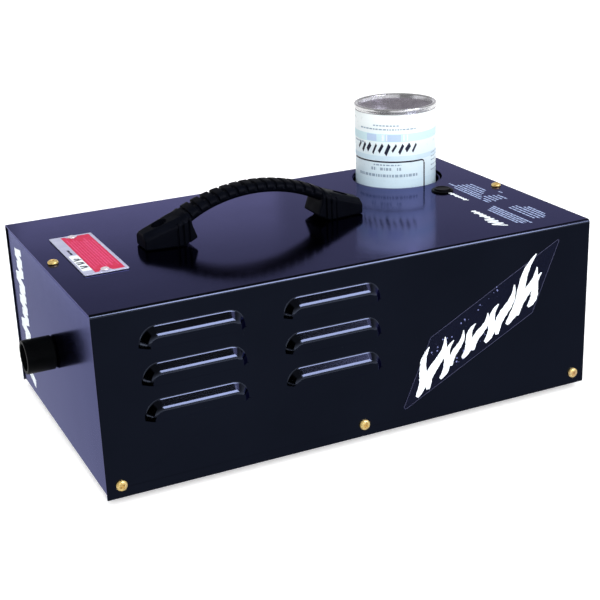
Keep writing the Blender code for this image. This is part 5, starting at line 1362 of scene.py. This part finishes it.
def can_surface(u, v, out=0.0):
    """u is an angle in degrees to the right of the side that faces the front-left, v a height."""
    can = casing_middle("canister_body")
    angle = math.radians(CAN_FACING + u)
    reach = CAN_RADIUS + out
    return Vector((can.x + reach * math.cos(angle), can.y + reach * math.sin(angle), v))


def make_can():
    """A shell with a dished lid, a rolled rim, a painted wall and a shoulder at its lower end."""
    low, high = casing_box("canister_body")
    can = (low + high) / 2
    top = high.z
    rim = (high.x - low.x) / 2

    def below_top(points):
        return [(radius, top - drop) for radius, drop in points]

    dome = []
    for step in range(DOME_STEPS + 1):
        share = step / DOME_STEPS
        dome.append((DOME_REACH * share, top - DOME_DEPTH + (DOME_DEPTH - DOME_EDGE) * share ** 2))
    curl = below_top((*CURL_INNER, (rim - CURL_FLAT, 0), (rim, CURL_HEIGHT), *CURL_FOOT))
    curl = [dome[-1], *rounded([dome[-1], *curl], CURL_ROUNDINGS, steps=6)[1:]]
    painted = [*below_top(CURL_FOOT[-1:]), CAN_SHOULDER[0]]
    lower = rounded(CAN_SHOULDER, CAN_SHOULDER_ROUNDINGS, steps=8)
    lower += [*CAN_INSIDE, *below_top(CAN_CEILING)]
    shapes = bmesh.new()
    for profile, index in ((dome, 2), (curl, 0), (painted, 1), (lower, 0)):
        turn(shapes, profile, (can.x, can.y, 0), sides=LARGE, open_ended=True, index=index)
    # The dome takes the darker, lilac copy of the tinplate: painted reflection on the lid.
    finishes = ["tinplate", "can_paint", "lid_metal"]
    piece("canister_shell", shapes, finishes, ["canister_body"], "canister", 50)


def band(shapes, low, high, start, end, inner, outer, step=3.0):
    """A printed band round the can between two heights and two angles."""
    middle = (low + high) / 2
    bar(shapes, can_surface, (start, middle), (end, middle), high - low, inner, outer, step)


def can_line(shapes, height, start, end, tall, chance):
    """A line of dashes round the can; lengths along it are in degrees."""
    reached = start
    while reached < end:
        dash = min(chance.uniform(*CAN_DASH), end - reached)
        band(shapes, height - tall / 2, height + tall / 2, reached, reached + dash, 0, 2 * INK)
        reached += dash + CAN_DASH_GAP


def can_print(name, shapes, finish):
    piece(name, shapes, [finish], (), "canister", 60)


def make_can_label(chance):
    """Generic print: colour bands, unreadable lines, a bold motif and a ruled frame."""
    top = casing_box("canister_body")[1].z - LABEL_DROP
    for colour, bands in CAN_BANDS.items():
        shapes = bmesh.new()
        layer = 2 * INK if colour == "blue" else INK
        for low, high, start, end in bands:
            band(shapes, top - high, top - low, start, end, -INK, layer)
        can_print(f"canister_{colour}_bands", shapes, f"can_{colour}")
    shapes = bmesh.new()
    for start, end in CAN_WHITE_MARKS:
        band(shapes, top - CAN_WHITE[1], top - CAN_WHITE[0], start, end, 0, 3 * INK)
    can_print("canister_white_marks", shapes, "white_ink")
    shapes = bmesh.new()
    for drop, start, end, tall in CAN_LINES:
        can_line(shapes, top - drop, start, end, tall, chance)
    for start in CAN_COLUMNS:
        for drop in CAN_COLUMN_LINES:
            can_line(shapes, top - drop, start, start + CAN_COLUMN_WIDTH, CAN_COLUMN_PRINT, chance)
    can_print("canister_fine_print", shapes, "can_grey")
    shapes = bmesh.new()
    draw_motif(shapes, top - CAN_MOTIF_TOP)
    draw_rule(shapes, top - CAN_RULE[0])
    can_print("canister_dark_print", shapes, "dark_ink")


def draw_motif(shapes, head):
    """Slanting strokes of uneven height and width in a row."""
    for mark, tall in enumerate(CAN_MOTIF):
        start = CAN_MOTIF_START + CAN_MOTIF_PITCH * mark
        width = CAN_MOTIF_WIDTH * (1 + mark % 3 / 3)
        end = (start + CAN_MOTIF_LEAN * CAN_DEGREE, head)
        bar(shapes, can_surface, (start, head - tall), end, width, 0, 3 * INK, 2.0)


def draw_rule(shapes, line):
    """A line round the can that turns down at a rounded corner."""
    start, end = CAN_RULE[1:]
    half = CAN_RULE_WIDTH / 2
    band(shapes, line - half, line + half, start, end, 0, 3 * INK)
    wide, tall = CAN_RULE_CORNER
    corner = []
    for step in range(CAN_RULE_STEPS + 1):
        angle = math.pi / 2 * (1 - step / CAN_RULE_STEPS)
        corner.append((end + wide * math.cos(angle), line - tall + tall * math.sin(angle)))
    for first, second in zip(corner, corner[1:]):
        bar(shapes, can_surface, first, second, CAN_RULE_WIDTH, 0, 3 * INK)
    side, half, foot, drop = CAN_RULE_SIDE
    outline = rectangle(side - half, HEIGHT + foot, side + half, line - drop)
    prism(shapes, can_surface, outline, 0, 3 * INK)


# --- Prints on the casing ----------------------------------------------------------------

def zigzag(shapes, surface, start, along, lean, strokes):
    """A bold line of joined slanting strokes."""
    start, along, lean = Vector(start), Vector(along), Vector(lean)
    reached = 0.0
    for length, height, width in strokes:
        foot = start + along * reached
        head = foot + lean * height
        bar(shapes, surface, foot, head, width, -INK, INK)
        bar(shapes, surface, head, foot + along * length, LINK_WIDTH * width, -INK, 1.5 * INK)
        reached += length


def make_top_print(chance):
    """Blocks of print too small to read, and two bolder marks."""
    shapes = bmesh.new()
    for x, start, end in PRINT_LINES:
        greek_line(shapes, on_top, (x, start), (0, -1), start - end, PRINT_HEIGHT, chance, -INK, INK)
    piece("cover_print", shapes, ["blue_ink"])
    shapes = bmesh.new()
    zigzag(shapes, on_top, *TOP_MARK)
    zigzag(shapes, on_top, *BUTTON_MARK)
    piece("cover_bold_print", shapes, ["white_ink"])


def make_end_print():
    """A broad band of joined slanting strokes up the left end."""
    shapes = bmesh.new()
    zigzag(shapes, on_left_end, *END_MARK)
    piece("chassis_print", shapes, ["white_ink"])


def make_decal(chance):
    """Black film on the front with a pale rule round it and drifting wisps of fog on it."""
    outline = rounded(DECAL, DECAL_CORNERS, 6, closed=True)
    shapes = bmesh.new()
    prism(shapes, on_front, outline, -INK, DECAL_FILM)
    piece("front_decal_film", shapes, ["decal_film"])
    shapes = bmesh.new()
    middle = sum(outline, Vector((0, 0))) / len(outline)
    for ends in zip(outline, outline[1:] + outline[:1]):
        start, end = (point + (middle - point).normalized() * DECAL_RULE_INSET for point in ends)
        if (end - start).length > WELD:
            bar(shapes, on_front, start, end, DECAL_RULE_WIDTH, 0, DECAL_FILM + INK)
    piece("front_decal_rule", shapes, ["faint_ink"])
    shapes = bmesh.new()
    for layer, (base, tip, width, sway) in enumerate(WISPS):
        draw_wisp(shapes, Vector(base), Vector(tip), width, sway, INK * (1 + layer / 4), chance)
    piece("front_decal_art", shapes, ["white_ink"])
    shapes = bmesh.new()
    draw_specks(shapes, chance)
    piece("front_decal_specks", shapes, ["speck_ink"])


def draw_wisp(shapes, base, tip, width, sway, layer, chance):
    """A plume that swells from a pointed foot, sways and thins out, with ragged edges."""
    rise = tip - base
    aside = Vector((rise.y, -rise.x)).normalized()
    path, widths = [], []
    for step in range(WISP_STEPS + 1):
        t = step / WISP_STEPS
        path.append(base + rise * t + aside * sway * math.sin(math.tau * t))
        swell = math.sin(math.pi * (0.03 + 0.95 * t) ** 0.72) ** 0.75
        widths.append(max(WISP_THINNEST, width * swell * chance.uniform(*WISP_RAGGED)))
    ribbon(shapes, on_front, path, widths, DECAL_FILM - INK, DECAL_FILM + layer)


def draw_specks(shapes, chance):
    """Droplets scattered over the film above and below the wisps."""
    along = Vector(SPECK_ALONG).normalized()
    aside = Vector((-along.y, along.x))
    for speck in range(SPECKS):
        spread = chance.uniform(*(SPECK_BELOW if speck % 3 else SPECK_ABOVE))
        place = Vector(SPECK_START) + along * chance.uniform(0, SPECK_REACH) + aside * spread
        outline = circle(place, chance.uniform(*SPECK_RADIUS), SPECK_SIDES)
        prism(shapes, on_front, outline, DECAL_FILM - INK, DECAL_FILM + INK)


# --- Button ------------------------------------------------------------------------------

def make_button():
    """A bezel with its barbs below the sheet, and a dished cap that slides in it."""
    low, high = casing_box("fog_button_housing")
    place = (*((low + high) / 2).xy, 0)
    bezel = (high.x - low.x) / 2
    deck = HEIGHT + GAP
    rim = [(BEZEL_MOUTH, high.z), (bezel, high.z), (bezel, deck), (BEZEL_BODY, deck)]
    housing = rounded(rim, [0, 0.7, 0.2, 0], 6)
    housing += [(BEZEL_BODY, low.z), (BEZEL_INSIDE[0][0], low.z), *BEZEL_INSIDE]
    housing.append((BEZEL_INSIDE[-1][0], high.z - BEZEL_MOUTH_STEP))
    shapes = bmesh.new()
    turn(shapes, housing, place, sides=MIDDLE)
    for barb in range(2):
        flat = HEIGHT - BARB_DROP - BARB_PITCH * barb
        turn(shapes, [(radius, flat + level) for radius, level in BEZEL_BARB], place, sides=MIDDLE)
    piece("fog_button_bezel", shapes, ["black_plastic"], ["fog_button_housing"])
    low, high = casing_box("fog_button")
    cap = (high.x - low.x) / 2
    dish = [(radius, high.z - drop) for radius, drop in CAP_DISH]
    profile = rounded([*dish, (cap, high.z), (cap, CAP_BOTTOM)], [0, 0.8, 0.4, 0.7, 0], 5)
    profile += [(CAP_STEM, CAP_BOTTOM), (CAP_STEM, low.z), (0, low.z)]
    shapes = bmesh.new()
    turn(shapes, profile, place, sides=MIDDLE)
    piece("fog_button_cap", shapes, ["black_plastic"], ["fog_button"], "fog_button")


# --- CAD nodes that keep their shape -----------------------------------------------------

def refine(node, finish, width=0.25, smooth=38, body="machine"):
    """A copy of a CAD node with clean faces, smooth rounds and softened edges."""
    shapes = bmesh.new()
    shapes.from_mesh(frame["nodes"][node].data)
    bmesh.ops.remove_doubles(shapes, verts=shapes.verts, dist=WELD * MM)
    bmesh.ops.dissolve_limit(shapes, angle_limit=math.radians(1), verts=shapes.verts, edges=shapes.edges)
    bmesh.ops.scale(shapes, vec=(1 / MM,) * 3, verts=shapes.verts)
    bmesh.ops.translate(shapes, vec=-CORNER, verts=shapes.verts)
    made = piece(f"{node}_fine", shapes, [finish], [node], body, smooth)
    if width:
        bevel(made, width, 2, smooth)
    weigh_normals(made)


def refine_inner_parts():
    for finish, nodes in INNER_PARTS.items():
        for node in nodes:
            round_wire = node.endswith(("pipe", "lead", "spring"))
            refine(node, finish, width=0 if round_wire else 0.25, smooth=60 if round_wire else 38)
    for node, finish, body, width in MOVING_PARTS:
        refine(node, finish, width, body=body)


def squeeze_springs():
    """Give each spring that a joint deforms its own copy of its mesh."""
    for joint in frame["joints"]:
        for change in joint.get("deforming_nodes", []):
            spring = bpy.data.objects[f"{change['node']}_fine"]
            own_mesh(spring)


# --- Studio ------------------------------------------------------------------------------

def make_floor():
    """A pale sweep that the machine stands on."""
    shapes = bmesh.new()
    bmesh.ops.create_grid(shapes, x_segments=2, y_segments=2, size=FLOOR_REACH)
    floor = new_object("studio_floor", shapes)
    settings = (("Specular IOR Level", 0.1), ("Emission Color", (1.0, 1.0, 1.0, 1.0)))
    finish = new_material("studio_floor", (0.86, 0.86, 0.86), 0.8, 0.0, settings)
    vary_roughness(finish, noise(finish, 3.0), 0.75, 0.9)
    nodes, links = finish.node_tree.nodes, finish.node_tree.links
    distance = nodes.new("ShaderNodeVectorMath")
    distance.operation = "LENGTH"
    links.new(nodes.new("ShaderNodeTexCoord").outputs["Object"], distance.inputs[0])
    glow = nodes.new("ShaderNodeMapRange")
    glow.inputs["From Min"].default_value, glow.inputs["From Max"].default_value = FLOOR_FADE
    glow.inputs["To Min"].default_value, glow.inputs["To Max"].default_value = FLOOR_GLOW
    links.new(distance.outputs["Value"], glow.inputs["Value"])
    links.new(glow.outputs["Result"], shader_of(finish).inputs["Emission Strength"])
    floor.data.materials.append(finish)


def aim(obj, place, target):
    obj.location = place
    obj.rotation_mode = "QUATERNION"
    obj.rotation_quaternion = (Vector(target) - Vector(place)).to_track_quat("-Z", "Y")


def add_light(name, place, size, radiance, colour, reflected):
    """A rectangular soft light of that radiance, so that its size doesn't change its tone."""
    light = bpy.data.lights.new(name, "AREA")
    light.shape = "RECTANGLE"
    light.size, light.size_y = size
    light.energy = radiance * math.pi * size[0] * size[1]
    light.color = colour
    lamp = bpy.data.objects.new(name, light)
    bpy.context.scene.collection.objects.link(lamp)
    aim(lamp, place, LIGHT_TARGET)
    lamp.visible_camera = False
    lamp.visible_diffuse = not reflected
    lamp.visible_glossy = reflected


def make_world():
    """Bright at the horizon, dim overhead, so that flat tops stay dark and edges catch light."""
    world = bpy.data.worlds.new("studio")
    bpy.context.scene.world = world
    world.use_nodes = True
    nodes, links = world.node_tree.nodes, world.node_tree.links
    split = nodes.new("ShaderNodeSeparateXYZ")
    links.new(nodes.new("ShaderNodeTexCoord").outputs["Generated"], split.inputs["Vector"])
    ramp = nodes.new("ShaderNodeValToRGB")
    links.new(split.outputs["Z"], ramp.inputs["Fac"])
    points = ramp.color_ramp.elements
    while len(points) < len(WORLD_TONES):
        points.new(0.5)
    for point, (height, tone) in zip(points, WORLD_TONES):
        point.position = height
        point.color = (tone, tone, tone * WORLD_BLUE, 1)
    links.new(ramp.outputs["Color"], nodes["Background"].inputs["Color"])
    nodes["Background"].inputs["Strength"].default_value = 1.0


def towards(azimuth, elevation):
    """Unit vector; azimuth 0 is +Y and 90 is +X."""
    azimuth, elevation = math.radians(azimuth), math.radians(elevation)
    level = math.cos(elevation)
    return Vector((level * math.sin(azimuth), level * math.cos(azimuth), math.sin(elevation)))


def make_lights():
    for name, direction, distance, size, radiance, colour in SOFTBOXES:
        place = LIGHT_TARGET + towards(*direction) * distance
        add_light(name, place, size, radiance, colour, reflected=True)
    for name, place, size, radiance in FILLS:
        add_light(name, place, size, radiance, (1, 1, 1), reflected=False)
    for name, low, high, glow in FLAGS:
        add_flag(name, Vector(low), Vector(high), glow)


def add_flag(name, low, high, glow):
    """An upright or level sheet that only reflections see, to keep them dark on that side."""
    if low.x == high.x:
        corners = [(low.x, y, z) for y, z in rectangle(low.y, low.z, high.y, high.z)]
    else:
        corners = [(x, y, low.z) for x, y in rectangle(low.x, low.y, high.x, high.y)]
    shapes = bmesh.new()
    shapes.faces.new([shapes.verts.new(Vector(corner) + FLAG_LIFT) for corner in corners])
    flag = new_object(name, shapes)
    settings = (("Specular IOR Level", 0.0), ("Emission Color", (*glow, 1.0)), ("Emission Strength", 1.0))
    flag.data.materials.append(new_material(name, (0, 0, 0), 1.0, 0.0, settings))
    flag.visible_camera = False
    flag.visible_diffuse = False
    flag.visible_shadow = False
    flag.visible_transmission = False


def make_camera():
    camera = bpy.data.cameras.new("camera")
    camera.lens = CAMERA_LENS
    camera.sensor_width = CAMERA_SENSOR
    camera.clip_start = CAMERA_CLIP
    made = bpy.data.objects.new("camera", camera)
    back = CAMERA_BACK.normalized()
    level = Vector((0, 0, 1)).cross(back).normalized()
    upward = back.cross(level)
    right = level * math.cos(CAMERA_ROLL) + upward * math.sin(CAMERA_ROLL)
    up = upward * math.cos(CAMERA_ROLL) - level * math.sin(CAMERA_ROLL)
    turned = Matrix((right, up, back)).transposed().to_4x4()
    made.matrix_world = Matrix.Translation(CORNER * MM + CAMERA_PLACE) @ turned
    bpy.context.scene.collection.objects.link(made)
    bpy.context.scene.camera = made


def build():
    chance = random.Random(7)
    make_camera()
    make_world()
    make_lights()
    make_floor()
    make_cover()
    make_chassis()
    make_feet()
    make_screws(chance)
    make_handle()
    make_rating_plate(chance)
    make_rivets()
    make_nozzle()
    make_can()
    make_can_label(chance)
    make_button()
    make_top_print(chance)
    make_end_print()
    make_decal(chance)
    refine_inner_parts()
    squeeze_springs()
    bpy.context.scene.view_settings.view_transform = "Standard"


FINISHES = make_materials()
build()
